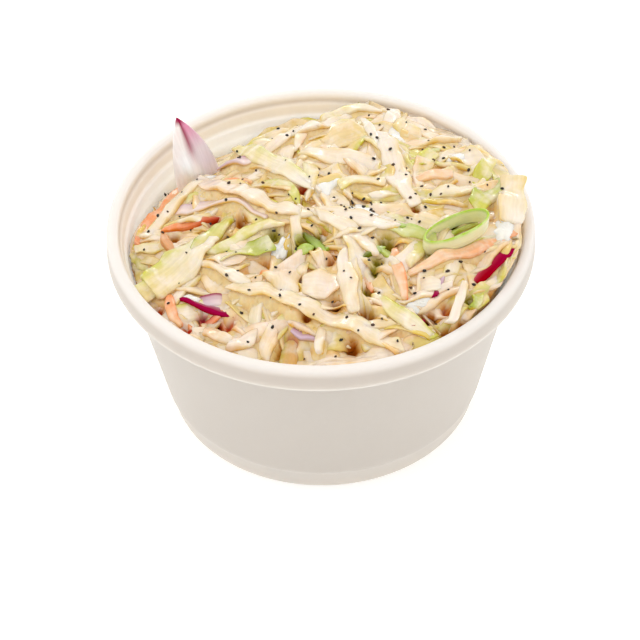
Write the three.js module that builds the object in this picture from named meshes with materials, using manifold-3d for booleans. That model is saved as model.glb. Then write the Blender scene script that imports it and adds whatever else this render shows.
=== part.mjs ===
// Coleslaw in a squat foam cup. Millimetres, +Z up, origin on the cup's axis at the face it stands on.
// Two pieces: the moulded foam cup, and the slaw heaped in it, a core with the shreds that show fused on.
import * as THREE from 'three';
import { mergeVertices } from 'three/addons/utils/BufferGeometryUtils.js';
import Module from 'manifold-3d';

const { clamp, degToRad, lerp } = THREE.MathUtils;

// ---- Driving dimensions --------------------------------------------------------------------------------

const CUP_HEIGHT = 58;
const RIM_RADIUS = 57; // outside of the band round the rim
const BAND_HEIGHT = 7;
const BAND_DRAFT = 0.4; // the band is this much wider at its lower edge
const WALL_TOP_RADIUS = 53.4; // outside of the wall, just under the band
const FOOT_RADIUS = 42;
const FOOT_DRAFT = 1.3; // the foot is this much wider at its top
const FOOT_HEIGHT = 6.6;
const FOOT_STEP = 0.6; // how far the foot sits in from the wall above it
const WALL = 2.5; // foam thickness
const FLOOR = 3.5;
const LIP = 3; // width of the rim's rounded top
const CORNER = 0.6; // how far the rim's and foot's edges are rounded
const RECESS_DEPTH = 2; // hollow under the base, inside the ring that the cup stands on
const RING_WIDTH = 3.2;
const LEDGES = [3, 6.5, 10]; // depths below the rim of the small steps inside the mouth
const LEDGE = 0.9; // how far each step comes in
const STRAIGHT_DEPTH = 12.5; // below the steps the inside runs straight down to the foot
const ROUND_SIDES = 56;

const GAP = 0.35; // clearance between slaw and foam
const HEADROOM = 30; // more than the heap stands above the rim
const CROWN = 6.3; // height of the core above the rim, at its middle
const CROWN_AT = [6, 4];
const CROWN_REACH = 56;
const EDGE_DROP = 7.5; // level of the core at the wall, below the rim
const HOLLOW = 10; // extra drop towards the back left, where the cup isn't full
const HOLLOW_SIDE = [-0.7, 0.71];
const BANK = 3; // extra height towards the right, where the slaw reaches the rim
const BANK_SIDE = [0.97, -0.24];
const SIDE_START = 15; // both start this far from the axis and grow over the next stretch
const SIDE_REACH = 35;
const CORE_RINGS = 8;
const CORE_SPOKES = 32;
const CORE_GAP = 0.6; // its own clearance, more than the slaw's, as its sides are flatter than the wall
const LUMP = 0.7; // its unevenness

const SINK = 0.7; // how deep a shred is pressed into what it lies on, so that they fuse
const STIFFNESS = 0.035; // a shred bridges dips tighter than a parabola of this curvature
const LOFT = 2; // how far above the core's level a shred may lie before the rest presses it down
const PRESSED = 0.35; // share of the further height that is left
const CHAMFER = 0.85; // width of a shred's upper face, as a share of its lower face
const ROLL = 3.4; // how far a shred's tipping runs through its wave over its length, in radians
const GRAINS = 28; // pepper
const GRAINS_REACH = 47;
const GRAIN_LENGTH = 1.5;
const GOLDEN_ANGLE = 2.39996; // turn from one place to the next on a spiral that spreads them evenly
const FINEST = 0.06; // detail smaller than this is merged away

// ---- Shreds --------------------------------------------------------------------------------------------

// Each shred lies along an arc seen from above: [kind, middle x, middle y, heading in degrees, length,
// width, bend in degrees over its length]. They are laid in this order, each on those before it.
const SHREDS = [
  ['carrot', -45, 13.5, 62, 27, 3, 6],
  ['leaf', -43, -6, -30, 14, 3.4, -30],
  ['carrot', -40, -7, -55, 11, 3, 60],
  ['carrot', -35, -0.5, -3, 16, 3, 10],
  ['leaf', -34, -9, 5, 9, 5, 0],
  ['leaf', -19, -16, 8, 12, 6, 0],
  ['leaf', 8, 27, 20, 14, 8, 0],
  ['strip', -10, 27, 38, 23, 2.8, -75],
  ['strip', 8, 43, 25, 19, 3, -65],
  ['chunk', 24.5, 34, -30, 7, 6, 0],
  ['strip', 35, 22.8, 38, 13, 3, 0],
  ['leaf', 40, 19.3, 10, 9, 6, 0],
  ['strip', 36, 3.3, 8, 15, 4, 0],
  ['carrot', 30.5, 8.9, 15, 10, 3.4, 0],
  ['leaf', 28.5, 18.3, 60, 8, 4.4, 0],
  ['chunk', 23.8, -18.8, 70, 7.5, 6, 0],
  ['leaf', 26, -29, 0, 10, 5, 0],
  ['chunk', 0, -29, -10, 9, 8, 0],
  ['chunk', -10, -26.5, 85, 10, 10, 0],
  ['leaf', -25.5, -18.5, -8, 10, 3.6, 0],
  ['strip', 29, -33, 23, 16, 3.4, 0],
  ['strip', 35, -34.8, 68, 12, 2.8, 0],
  ['leaf', 39.5, -29.6, -82, 13, 3.2, -30],
  ['strip', 48.8, -17, 63, 26, 2.8, 28],
  ['carrot', -39, -29.5, -75, 11, 3, 0],
  ['carrot', -33, -36, -60, 8, 2.6, 0],
  ['chunk', -21, -43, 20, 7, 4.5, 0],
  ['chunk', -14, -44.5, 80, 8, 4.5, 0],
  ['chunk', -27, -40, -25, 8, 3.6, 0],
  ['strip', -1, -42, -14, 15, 3, 0],
  ['strip', 4, -48.5, 3, 32, 3, 24],
  ['strip', -0.5, -44.5, -88, 8, 3, 0],
  ['wide', -38.5, -17, 36, 22, 9, 14],
  ['strip', -28.5, -8.5, 48, 17, 4.6, 0],
  ['strip', -20, -11.5, 18, 20, 3.6, -45],
  ['strip', -25.5, -22.5, -32, 16, 3.8, 0],
  ['onion', -28, -28, -15, 11, 3.6, 0],
  ['onion', -30.5, -30, -28, 16, 2.8, 25],
  ['strip', 21, -38, -42, 20, 4.4, 35],
  ['strip', 7, -27.5, -84, 19, 5.2, 8],
  ['wide', -2, -37, -23, 47, 5.4, 10],
  ['carrot', 20.4, -26.6, -81, 17, 3.6, 0],
  ['carrot', 39.3, -16.4, 31, 38, 3.4, 24],
  ['onion', 46.7, -20, 54, 15.5, 3.6, 8],
  ['strip', 22, -12.4, -15, 13, 4.4, 0],
  ['leaf', 45.5, 4.3, 52, 17, 6.4, 0],
  ['leaf', 44.5, 15.2, 65, 11, 4.6, 0],
  ['flap', 51, 2.6, 80, 14, 8, 0],
  ['strip', 6, 16.5, -10, 21, 5.2, -12],
  ['strip', 11, 5, 15, 12, 4.6, -30],
  ['strip', -11, 6, -40, 20, 3, -110],
  ['strip', -13, 17, -53, 35, 5.2, 15],
  ['onion', -27, 2.5, -28, 31, 4.4, -35],
  ['strip', -40.5, 11, 50, 27, 4.2, 15],
  ['wide', -20, 4, -42, 40, 6.4, 40],
  ['strip', 9, -8.5, -22, 23, 4.6, -10],
  ['strip', 7.5, -13, -45, 20, 4.4, -30],
  ['strip', 14.5, 29, -77, 17, 2.6, 0],
  ['wide', 20.5, 12.5, -78, 32, 6.4, 12],
  ['chunk', 20, 41, 80, 8, 5, 0],
];
const SCATTERED = 74; // places for plain shreds, laid first where none of the others has its middle near
const SCATTERED_REACH = 43;
const SCATTERED_APART = 5.5;
const SCATTERED_OUT = 0.5; // they stop this far into the hollow
const SCATTERED_LENGTH = [13, 25];
const SCATTERED_WIDTH = [3, 4.6];

// How thick each kind is, how much of its width is left at its ends, how far it tips about its length, in
// degrees, and the length of one step along it. A flap lies over the rim. The others stay inside the wall.
const KINDS = {
  strip: { thickness: 1.8, ends: 0.6, tip: 22, step: 4.6 },
  wide: { thickness: 1.8, ends: 0.45, tip: 18, step: 5 },
  leaf: { thickness: 1.2, ends: 0.7, tip: 26, step: 3.9 },
  flap: { thickness: 1.2, ends: 0.7, tip: 26, step: 3.9, overRim: true },
  chunk: { thickness: 2.6, ends: 0.75, tip: 16, step: 3.6 },
  carrot: { thickness: 1.9, ends: 0.3, tip: 10, step: 5.2 },
  onion: { thickness: 1.4, ends: 0.4, tip: 30, step: 4.8 },
};

const RING = {
  at: [35.2, -13],
  heading: 28,
  long: 9.8,
  short: 4.2,
  height: 5.2,
  wall: 1,
  tilt: 6,
  sunk: 2,
  slope: 0.08, // its base rises by this much a millimetre along its heading
  steps: 14,
};
const PETAL_PATH = [[-32, 21, 47], [-34, 24, 59], [-38, 27, 72]]; // foot, waist and tip
const PETAL_ACROSS = [0.93, 0.32, 0.1]; // the way its width lies
const PETAL = { width: 12.5, thickness: 1.5, fold: 3, steps: 8 };

// ---- Helpers -------------------------------------------------------------------------------------------

// A repeatable stream of numbers from 0 to 1.
function randomFrom(seed) {
  let state = seed;
  return () => {
    state = (state + 0x6d2b79f5) | 0;
    let mixed = Math.imul(state ^ (state >>> 15), 1 | state);
    mixed = (mixed + Math.imul(mixed ^ (mixed >>> 7), 61 | mixed)) ^ mixed;
    return ((mixed ^ (mixed >>> 14)) >>> 0) / 4294967296;
  };
}

const wasm = await Module();
wasm.setup();

function solidOf(geometry) {
  const bare = geometry.index ? geometry.toNonIndexed() : geometry.clone();
  bare.deleteAttribute('normal');
  bare.deleteAttribute('uv');
  const merged = mergeVertices(bare, 1e-4);
  const corners = merged.index.array;
  const kept = [];
  for (let i = 0; i < corners.length; i += 3) {
    const [a, b, c] = corners.slice(i, i + 3);
    if (a !== b && b !== c && c !== a) kept.push(a, b, c);
  }
  const made = new wasm.Manifold(
    new wasm.Mesh({
      numProp: 3,
      vertProperties: merged.attributes.position.array,
      triVerts: new Uint32Array(kept),
    }),
  );
  if (made.volume() < 0) throw new Error('a piece is inside out');
  return made;
}

function geometryOf(solid) {
  const mesh = solid.getMesh();
  const geometry = new THREE.BufferGeometry();
  geometry.setAttribute('position', new THREE.BufferAttribute(mesh.vertProperties, 3));
  geometry.setIndex(new THREE.BufferAttribute(mesh.triVerts, 1));
  geometry.computeVertexNormals();
  return geometry;
}

// A closed skin over sections of equal point count. Each section runs anticlockwise seen from its far side,
// and the first and last are capped, or joined to each other where loop is true.
function skin(sections, loop = false) {
  const around = sections[0].length;
  const points = sections.flat();
  const index = [];
  const joints = loop ? sections.length : sections.length - 1;
  for (let i = 0; i < joints; i++) {
    const next = (i + 1) % sections.length;
    for (let j = 0; j < around; j++) {
      const k = (j + 1) % around;
      const [a, b, c, d] = [i * around + j, i * around + k, next * around + k, next * around + j];
      index.push(a, b, c, a, c, d);
    }
  }
  const last = points.length - around;
  if (!loop) {
    for (let j = 1; j < around - 1; j++) index.push(0, j + 1, j, last, last + j, last + j + 1);
  }
  const geometry = new THREE.BufferGeometry().setFromPoints(points);
  geometry.setIndex(index);
  return geometry;
}

// An outline of [radius, height] turned about Z.
function turned(outline) {
  const points = outline.map(([radius, height]) => new THREE.Vector2(radius, height));
  return new THREE.LatheGeometry(points, ROUND_SIDES).rotateX(Math.PI / 2);
}

// ---- Cup -----------------------------------------------------------------------------------------------

const wallFootHeight = FOOT_HEIGHT + FOOT_STEP / 2;
const wallFootRadius = FOOT_RADIUS + FOOT_DRAFT + FOOT_STEP;
const bandFoot = CUP_HEIGHT - BAND_HEIGHT;
const lipRadius = RIM_RADIUS - LIP; // the mouth

// Radius of the wall's outside at a height.
function outsideAt(z) {
  return lerp(wallFootRadius, WALL_TOP_RADIUS, (z - wallFootHeight) / (bandFoot - wallFootHeight));
}

// The inside of the cup from the mouth down to the floor's middle, as [radius, height].
function insideOutline() {
  const outline = [[lipRadius + CORNER / 2, CUP_HEIGHT - CORNER]];
  let radius = lipRadius;
  for (const depth of LEDGES) {
    outline.push([radius - 0.1, CUP_HEIGHT - depth + 0.5]);
    radius -= LEDGE;
    outline.push([radius, CUP_HEIGHT - depth]);
    radius -= LEDGE / 3;
  }
  const straightTop = CUP_HEIGHT - STRAIGHT_DEPTH;
  outline.push([outsideAt(straightTop) - WALL, straightTop]);
  const cornerRadius = wallFootRadius - WALL;
  outline.push([cornerRadius, wallFootHeight]);
  outline.push([cornerRadius - 1, FLOOR + 1]);
  outline.push([cornerRadius - 3, FLOOR]);
  return outline;
}

function cupGeometry() {
  const outline = [
    [0, RECESS_DEPTH],
    [FOOT_RADIUS - RING_WIDTH - 1, RECESS_DEPTH],
    [FOOT_RADIUS - RING_WIDTH, 0],
    [FOOT_RADIUS - CORNER, 0],
    [FOOT_RADIUS, CORNER],
    [FOOT_RADIUS + FOOT_DRAFT, FOOT_HEIGHT],
    [wallFootRadius, wallFootHeight],
    [WALL_TOP_RADIUS, bandFoot - CORNER / 2],
    [RIM_RADIUS, bandFoot],
    [RIM_RADIUS + BAND_DRAFT, bandFoot + CORNER],
    [RIM_RADIUS, CUP_HEIGHT - 2 * CORNER],
    [RIM_RADIUS - CORNER, CUP_HEIGHT - CORNER / 2],
    [RIM_RADIUS - LIP / 2, CUP_HEIGHT],
    ...insideOutline(),
    [0, FLOOR],
  ];
  return turned(outline);
}

// The room inside the cup, less the clearance, and the air above the rim as far out as the rim's edge.
function roomSolid() {
  const ceiling = CUP_HEIGHT + HEADROOM;
  const inside = insideOutline().map(([r, z]) => [r - GAP, z < wallFootHeight ? z + GAP : z]);
  const closed = [
    [0, FLOOR + GAP],
    ...inside.reverse(),
    [lipRadius - GAP, CUP_HEIGHT + GAP],
    [RIM_RADIUS - CORNER, CUP_HEIGHT + GAP],
    [RIM_RADIUS - CORNER, ceiling],
    [0, ceiling],
  ];
  return solidOf(turned(closed));
}

// Radius of the cup's inside at a height.
function insideAt(z) {
  const outline = insideOutline();
  for (let i = 1; i < outline.length; i++) {
    const [[upperRadius, upper], [lowerRadius, lower]] = [outline[i - 1], outline[i]];
    if (z >= lower) return lerp(lowerRadius, upperRadius, clamp((z - lower) / (upper - lower), 0, 1));
  }
  return outline.at(-1)[0];
}

// ---- Slaw ----------------------------------------------------------------------------------------------

// How far a place lies into the hollow at the back left, from 0 to just over 1 at the wall.
function hollowAt(x, y) {
  return clamp((x * HOLLOW_SIDE[0] + y * HOLLOW_SIDE[1] - SIDE_START) / SIDE_REACH, 0, 1.3);
}

// The same for the bank at the right.
function bankAt(x, y) {
  return clamp((x * BANK_SIDE[0] + y * BANK_SIDE[1] - SIDE_START) / SIDE_REACH, 0, 1);
}

// Level of the core's top: a low dome with that hollow and bank in it, and small lumps.
function heapAt(x, y) {
  const reach = Math.hypot(x - CROWN_AT[0], y - CROWN_AT[1]) / CROWN_REACH;
  const dome = (CROWN + EDGE_DROP) * clamp(1 - reach ** 2, -0.3, 1);
  const lumps = LUMP * (Math.sin(x / 3.1 + 1) * Math.sin(y / 2.7) + Math.sin((x + y) / 4.3));
  return CUP_HEIGHT - EDGE_DROP + dome - HOLLOW * hollowAt(x, y) ** 2 + BANK * bankAt(x, y) + lumps;
}

// The core fills the cup up to the heap's level: rings of points out to the wall, then down to the floor.
function coreGeometry() {
  const spokes = Array.from({ length: CORE_SPOKES }, (_, j) => (j * 2 * Math.PI) / CORE_SPOKES);
  const ring = (radiusOf, heightOf) =>
    spokes.map((angle) => {
      const level = heapAt(50 * Math.cos(angle), 50 * Math.sin(angle));
      const r = radiusOf(level);
      const [x, y] = [r * Math.cos(angle), r * Math.sin(angle)];
      return new THREE.Vector3(x, y, heightOf(x, y));
    });
  const edge = (level) => insideAt(Math.min(level, CUP_HEIGHT - LEDGES[0])) - CORE_GAP;
  const sections = [ring(() => insideAt(FLOOR + 1) - 3, () => FLOOR + CORE_GAP)];
  sections.push(ring(() => insideAt(wallFootHeight) - CORE_GAP, () => wallFootHeight));
  for (let i = CORE_RINGS; i > 0; i--) {
    sections.push(ring((level) => (edge(level) * i) / CORE_RINGS, heapAt));
  }
  return skin(sections);
}

// Heights of what has been laid so far, on a grid of 1 mm squares.
class Surface {
  constructor() {
    this.half = 60;
    this.side = 2 * this.half + 1;
    this.level = new Float32Array(this.side ** 2);
    for (let j = 0; j < this.side; j++) {
      for (let i = 0; i < this.side; i++) {
        const [x, y] = [i - this.half, j - this.half];
        const onRim = Math.hypot(x, y) > lipRadius - 0.6;
        this.level[j * this.side + i] = onRim ? CUP_HEIGHT + GAP + SINK : heapAt(x, y);
      }
    }
  }
  cell(x, y) {
    const column = clamp(Math.round(x) + this.half, 0, this.side - 1);
    return clamp(Math.round(y) + this.half, 0, this.side - 1) * this.side + column;
  }
  at(x, y) {
    return this.level[this.cell(x, y)];
  }
  raise(x, y, z) {
    const cell = this.cell(x, y);
    this.level[cell] = Math.max(this.level[cell], z);
  }
}

// Places along an arc seen from above. Each has its point, its distance along and its direction.
function arc(x, y, heading, length, bend, steps) {
  const turn = degToRad(bend);
  const first = degToRad(heading) - turn / 2;
  const places = [];
  const pen = new THREE.Vector2(0, 0);
  for (let i = 0; i <= steps; i++) {
    const angle = first + (turn * i) / steps;
    places.push({ point: pen.clone(), along: (length * i) / steps, angle });
    const middle = first + (turn * (i + 0.5)) / steps;
    pen.add(new THREE.Vector2(Math.cos(middle), Math.sin(middle)).multiplyScalar(length / steps));
  }
  const centre = places.reduce((sum, p) => sum.add(p.point), new THREE.Vector2()).divideScalar(steps + 1);
  for (const place of places) place.point.sub(centre).add(new THREE.Vector2(x, y));
  return places;
}

// Lays one shred on the surface and returns its geometry. Its underside follows the surface, but bridges the
// dips and is pressed down where the pile grows high. It is kept off the wall. Its section is a flat bar
// that tips one way and then the other.
function layShred(surface, [kindName, x, y, heading, length, width, bend], random) {
  const kind = KINDS[kindName];
  const steps = Math.max(2, Math.round(length / kind.step));
  const places = arc(x, y, heading, length, bend, steps);
  for (const place of places) {
    const across = new THREE.Vector2(-Math.sin(place.angle), Math.cos(place.angle));
    const height = Math.min(surface.at(place.point.x, place.point.y), CUP_HEIGHT - 1);
    const limit = insideAt(height) - 2 * GAP;
    const reach = Math.abs(across.dot(place.point.clone().normalize())) * width * 0.4;
    const outermost = place.point.length() + reach;
    if (outermost > limit && !kind.overRim) place.point.multiplyScalar(limit / outermost);
    const beside = [-0.35, 0, 0.35].map((share) => across.clone().multiplyScalar(share * width));
    place.rest = Math.max(...beside.map((p) => surface.at(place.point.x + p.x, place.point.y + p.y)));
    place.across = across;
  }
  const lowest = places.map(({ along }) =>
    Math.max(...places.map((other) => other.rest - STIFFNESS * (along - other.along) ** 2)),
  );
  const phase = random() * 2 * Math.PI;
  const sections = places.map(({ point, across }, i) => {
    const share = i / steps;
    const narrow = lerp(kind.ends, 1, Math.sqrt(Math.sin(Math.PI * clamp(share, 0.04, 0.96))));
    const half = (width / 2) * narrow;
    const tip = degToRad(kind.tip) * Math.sin(phase + ROLL * share);
    const side = new THREE.Vector3(across.x * Math.cos(tip), across.y * Math.cos(tip), Math.sin(tip));
    const up = new THREE.Vector3(-across.x * Math.sin(tip), -across.y * Math.sin(tip), Math.cos(tip));
    const above = Math.max(0, lowest[i] - SINK - heapAt(point.x, point.y) - LOFT);
    const low = lowest[i] - SINK - (kind.overRim ? 0 : (1 - PRESSED) * above);
    const foot = new THREE.Vector3(point.x, point.y, low + half * Math.abs(Math.sin(tip)));
    const top = kind.thickness * lerp(0.7, 1, narrow);
    for (let s = -half; s <= half; s += 0.5) {
      surface.raise(foot.x + side.x * s, foot.y + side.y * s, foot.z + side.z * s + top);
    }
    const corner = (s, h) => foot.clone().addScaledVector(side, s * half).addScaledVector(up, h * top);
    return [corner(-1, 0), corner(1, 0), corner(CHAMFER, 1), corner(-CHAMFER, 1)];
  });
  fillBetween(surface, sections);
  return skin(sections);
}

// Raises the surface between neighbouring sections, which can lie further apart than its squares.
function fillBetween(surface, sections) {
  for (let i = 1; i < sections.length; i++) {
    const [here, there] = [sections[i - 1], sections[i]];
    for (const u of [0.25, 0.5, 0.75]) {
      for (const v of [0, 0.25, 0.5, 0.75, 1]) {
        const near = here[3].clone().lerp(here[2], v);
        const far = there[3].clone().lerp(there[2], v);
        const p = near.lerp(far, u);
        surface.raise(p.x, p.y, p.z);
      }
    }
  }
}

// A slice of spring onion on its edge: a low hoop, squeezed long.
function ringGeometry(surface) {
  const [x, y] = RING.at;
  const turn = new THREE.Matrix4().makeRotationZ(degToRad(RING.heading));
  const base = surface.at(x, y) - RING.sunk;
  const lean = Math.tan(degToRad(RING.tilt));
  const sections = Array.from({ length: RING.steps }, (_, i) => {
    const angle = (i * 2 * Math.PI) / RING.steps;
    const outer = new THREE.Vector3(RING.long * Math.cos(angle), RING.short * Math.sin(angle), 0);
    const inner = outer.clone().sub(outer.clone().normalize().multiplyScalar(RING.wall));
    const corner = (p, h) =>
      new THREE.Vector3(p.x, p.y - h * lean, h)
        .applyMatrix4(turn)
        .add(new THREE.Vector3(x, y, base + RING.slope * p.x));
    return [corner(inner, 0), corner(inner, RING.height), corner(outer, RING.height), corner(outer, 0)];
  });
  return skin(sections, true);
}

// The red onion petal that stands by the wall: a folded blade, widest low down and drawn out to a point.
function petalGeometry() {
  const spine = new THREE.CatmullRomCurve3(PETAL_PATH.map((p) => new THREE.Vector3(...p)));
  const across = new THREE.Vector3(...PETAL_ACROSS).normalize();
  const sections = [];
  for (let i = 0; i <= PETAL.steps; i++) {
    const share = i / PETAL.steps;
    const point = spine.getPoint(share);
    const front = across.clone().cross(spine.getTangent(share)).normalize();
    const half = (PETAL.width / 2) * Math.max(0.04, Math.sin(Math.PI * (0.28 + 0.72 * share)) ** 0.75);
    const at = (s, depth) =>
      point
        .clone()
        .addScaledVector(across, s * half)
        .addScaledVector(front, (PETAL.fold * (1 - Math.abs(s)) * half * 2) / PETAL.width + depth);
    const behind = -PETAL.thickness;
    sections.push([at(-1, 0), at(0, 0), at(1, 0), at(1, behind), at(0, behind), at(-1, behind)]);
  }
  return skin(sections);
}

// Pepper grains on whatever lies uppermost.
function grainGeometries(surface, random) {
  return Array.from({ length: GRAINS }, (_, i) => {
    const r = GRAINS_REACH * Math.sqrt((i + 0.5) / GRAINS);
    const angle = i * GOLDEN_ANGLE + 0.5 * random();
    const [x, y] = [r * Math.cos(angle), r * Math.sin(angle)];
    return new THREE.OctahedronGeometry(GRAIN_LENGTH / 2)
      .scale(1, 0.62, 0.7)
      .rotateZ(random() * Math.PI)
      .translate(x, y, surface.at(x, y) + 0.1);
  });
}

function slawGeometry() {
  const random = randomFrom(11);
  const surface = new Surface();
  const between = ([low, high]) => lerp(low, high, random());
  const pieces = [coreGeometry()];
  for (let i = 0; i < SCATTERED; i++) {
    const r = SCATTERED_REACH * Math.sqrt((i + 0.5) / SCATTERED);
    const [x, y] = [r * Math.cos(i * GOLDEN_ANGLE), r * Math.sin(i * GOLDEN_ANGLE)];
    const taken = SHREDS.some((other) => Math.hypot(other[1] - x, other[2] - y) < SCATTERED_APART);
    if (taken || hollowAt(x, y) > SCATTERED_OUT) continue;
    const [length, width] = [between(SCATTERED_LENGTH), between(SCATTERED_WIDTH)];
    const record = ['strip', x, y, 360 * random(), length, width, 80 * (random() - 0.5)];
    pieces.push(layShred(surface, record, random));
  }
  for (const record of SHREDS) pieces.push(layShred(surface, record, random));
  pieces.push(ringGeometry(surface), petalGeometry());
  pieces.push(...grainGeometries(surface, random));
  const joined = wasm.Manifold.union(pieces.map(solidOf)).intersect(roomSolid()).simplify(FINEST);
  const bodies = joined.decompose().sort((a, b) => b.volume() - a.volume());
  return geometryOf(bodies[0]);
}

// ---- The part ------------------------------------------------------------------------------------------

function piece(name, geometry, color, roughness) {
  const mesh = new THREE.Mesh(geometry, new THREE.MeshStandardMaterial({ color, roughness, metalness: 0 }));
  mesh.name = name;
  return mesh;
}

const part = new THREE.Group();
part.add(piece('foam_cup', cupGeometry(), 0xf1ede6, 0.75));
part.add(piece('coleslaw', slawGeometry(), 0xeadfb8, 0.35));

export default part;
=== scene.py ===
"""Coleslaw heaped in a squat foam cup: shredded cabbage, carrot, red onion and spring onion, all dressed.

Sizes are in millimetres and become metres where a mesh is made. +Z is up, and the cup stands on the floor at
z = 0 with its axis through the origin.
"""
import math

import bpy
import numpy as np
from mathutils import Matrix, Vector


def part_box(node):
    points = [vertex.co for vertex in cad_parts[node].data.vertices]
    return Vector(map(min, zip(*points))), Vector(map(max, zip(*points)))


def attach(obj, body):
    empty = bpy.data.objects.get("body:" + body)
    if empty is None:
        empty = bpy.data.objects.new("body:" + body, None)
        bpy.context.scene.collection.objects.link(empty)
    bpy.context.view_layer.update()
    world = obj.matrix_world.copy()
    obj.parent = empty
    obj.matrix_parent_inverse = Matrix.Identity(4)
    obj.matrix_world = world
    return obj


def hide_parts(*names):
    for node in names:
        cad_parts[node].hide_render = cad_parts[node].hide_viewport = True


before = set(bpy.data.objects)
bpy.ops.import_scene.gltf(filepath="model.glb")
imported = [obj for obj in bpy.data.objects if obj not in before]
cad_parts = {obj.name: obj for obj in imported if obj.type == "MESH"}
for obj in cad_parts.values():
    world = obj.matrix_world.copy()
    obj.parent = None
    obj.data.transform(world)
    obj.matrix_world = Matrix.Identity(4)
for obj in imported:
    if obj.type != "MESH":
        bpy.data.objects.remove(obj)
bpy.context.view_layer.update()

# ---- Camera ----------------------------------------------
# A long lens, looking down on the cup from the front at a little over forty degrees. It is tilted a touch
# below the rim, which then sits above the middle of the picture, and leans about its own axis by one
# degree.

MM = 0.001
PICTURE = 640  # width and height of the picture, in pixels
SENSOR = 36.0
FOCAL_PIXELS = 2993.0
CAMERA_ELEVATION = math.radians(41.7)
CAMERA_LEAN = math.radians(-1.1)
RIM_PIXEL = (320.6, 222.0)  # where the middle of the rim falls in the picture
CAMERA_REACH = 14.0  # distance from the rim, in rim radii

cup_low, cup_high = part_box("foam_cup")
CUP_HEIGHT = cup_high.z / MM
RIM_RADIUS = 57.0

rim_middle = Vector((0, 0, CUP_HEIGHT * MM))
camera_back = Vector((0, -math.cos(CAMERA_ELEVATION), math.sin(CAMERA_ELEVATION)))
camera_place = rim_middle + camera_back * CAMERA_REACH * RIM_RADIUS * MM
pitch = math.atan((RIM_PIXEL[1] - PICTURE / 2) / FOCAL_PIXELS)
yaw = math.atan((RIM_PIXEL[0] - PICTURE / 2) / FOCAL_PIXELS)

camera = bpy.data.objects.new("camera", bpy.data.cameras.new("camera"))
bpy.context.collection.objects.link(camera)
camera.data.sensor_width = SENSOR
camera.data.lens = FOCAL_PIXELS / PICTURE * SENSOR
camera.data.clip_start = 0.05
camera.data.clip_end = 20
camera.matrix_world = (
    Matrix.Translation(camera_place)
    @ (-camera_back).to_track_quat("-Z", "Y").to_matrix().to_4x4()
    @ Matrix.Rotation(CAMERA_LEAN, 4, "Z")
    @ Matrix.Rotation(pitch, 4, "X")
    @ Matrix.Rotation(yaw, 4, "Y")
)
bpy.context.scene.camera = camera

# ---- Foam cup --------------------------------------------
# Expanded polystyrene: white beads steamed together in a mould, which leaves a smooth, matte skin with the
# beads faintly showing. The rim has a deep band outside and small stacking ledges inside, and the foot is a
# plain ring.

BAND_HEIGHT = 7.0
BAND_DRAFT = 0.4
WALL_TOP_RADIUS = 53.4
FOOT_RADIUS = 42.0
FOOT_DRAFT = 1.3
FOOT_HEIGHT = 6.6
FOOT_STEP = 0.6
WALL = 2.5
FLOOR = 3.5
LIP = 3.0
RECESS_DEPTH = 2.0
RING_WIDTH = 3.2
LEDGES = (3.0, 6.5, 10.0)
LEDGE = 0.9
CUP_SIDES = 256
CUP_STEP = 1.1  # longest step along the outline
FOAM_WHITE = "C8C0B7"
FOAM_RIM_HIGHLIGHT = "E2DCD6"  # painted highlight: the top of the rim lighter, where the light from above falls on it
FOAM_INSIDE_LIT = "FFFAF4"  # painted light: the inside lighter, as if lit through the wall and from the mouth
FOAM_WARM = "FBEBD6"  # warmer, in patches, further down the inside
RIM_DEPTH = 2.5
WARM_DEPTH = 16.0
BEAD = 2.4  # across one bead


def linear(code):
    """An sRGB hex colour as linear (r, g, b, 1)."""
    parts = [int(code[i : i + 2], 16) / 255 for i in (0, 2, 4)]
    return (*[c / 12.92 if c <= 0.04045 else ((c + 0.055) / 1.055) ** 2.4 for c in parts], 1.0)


def add(tree, kind, inputs=None, **settings):
    """Adds a shader node, sets its properties, and gives each input a value or a link: to the socket given,
    or to the first output in use of the node given."""
    node = tree.nodes.new("ShaderNode" + kind)
    for name, value in settings.items():
        setattr(node, name, value)
    for name, value in (inputs or {}).items():
        if isinstance(value, bpy.types.Node):
            value = next(output for output in value.outputs if output.enabled)
        if isinstance(value, bpy.types.NodeSocket):
            tree.links.new(value, node.inputs[name])
        else:
            node.inputs[name].default_value = value
    return node


def times(tree, first, second):
    """A node that multiplies two numbers."""
    return add(tree, "Math", {0: first, 1: second}, operation="MULTIPLY")


def ramp(tree, value, low, high, to_low=0.0, to_high=1.0):
    """A node that carries a number from one span over to another and stops at its ends."""
    spans = {"From Min": low, "From Max": high, "To Min": to_low, "To Max": to_high}
    return add(tree, "MapRange", {"Value": value, **spans})


def mix(tree, share, first, second, blend="MIX"):
    """A node that mixes two colours."""
    inputs = {"Factor": share, "A": first, "B": second}
    return add(tree, "Mix", inputs, data_type="RGBA", blend_type=blend)


def relief(tree, height, strength, distance):
    """A node that tilts the surface by a height, at that strength and depth in metres."""
    return add(tree, "Bump", {"Height": height, "Strength": strength, "Distance": distance})


def new_material(name):
    """An empty node material, its tree, and the place of each point on the object."""
    material = bpy.data.materials.new(name)
    material.use_nodes = True
    tree = material.node_tree
    tree.nodes.clear()
    return material, tree, add(tree, "TexCoord").outputs["Object"]


def surface(tree, **inputs):
    """Ends a tree with a shader whose inputs are given, with low lines for the spaces in their names."""
    shader = add(tree, "BsdfPrincipled", {name.replace("_", " "): value for name, value in inputs.items()})
    add(tree, "OutputMaterial", {"Surface": shader})


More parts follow.
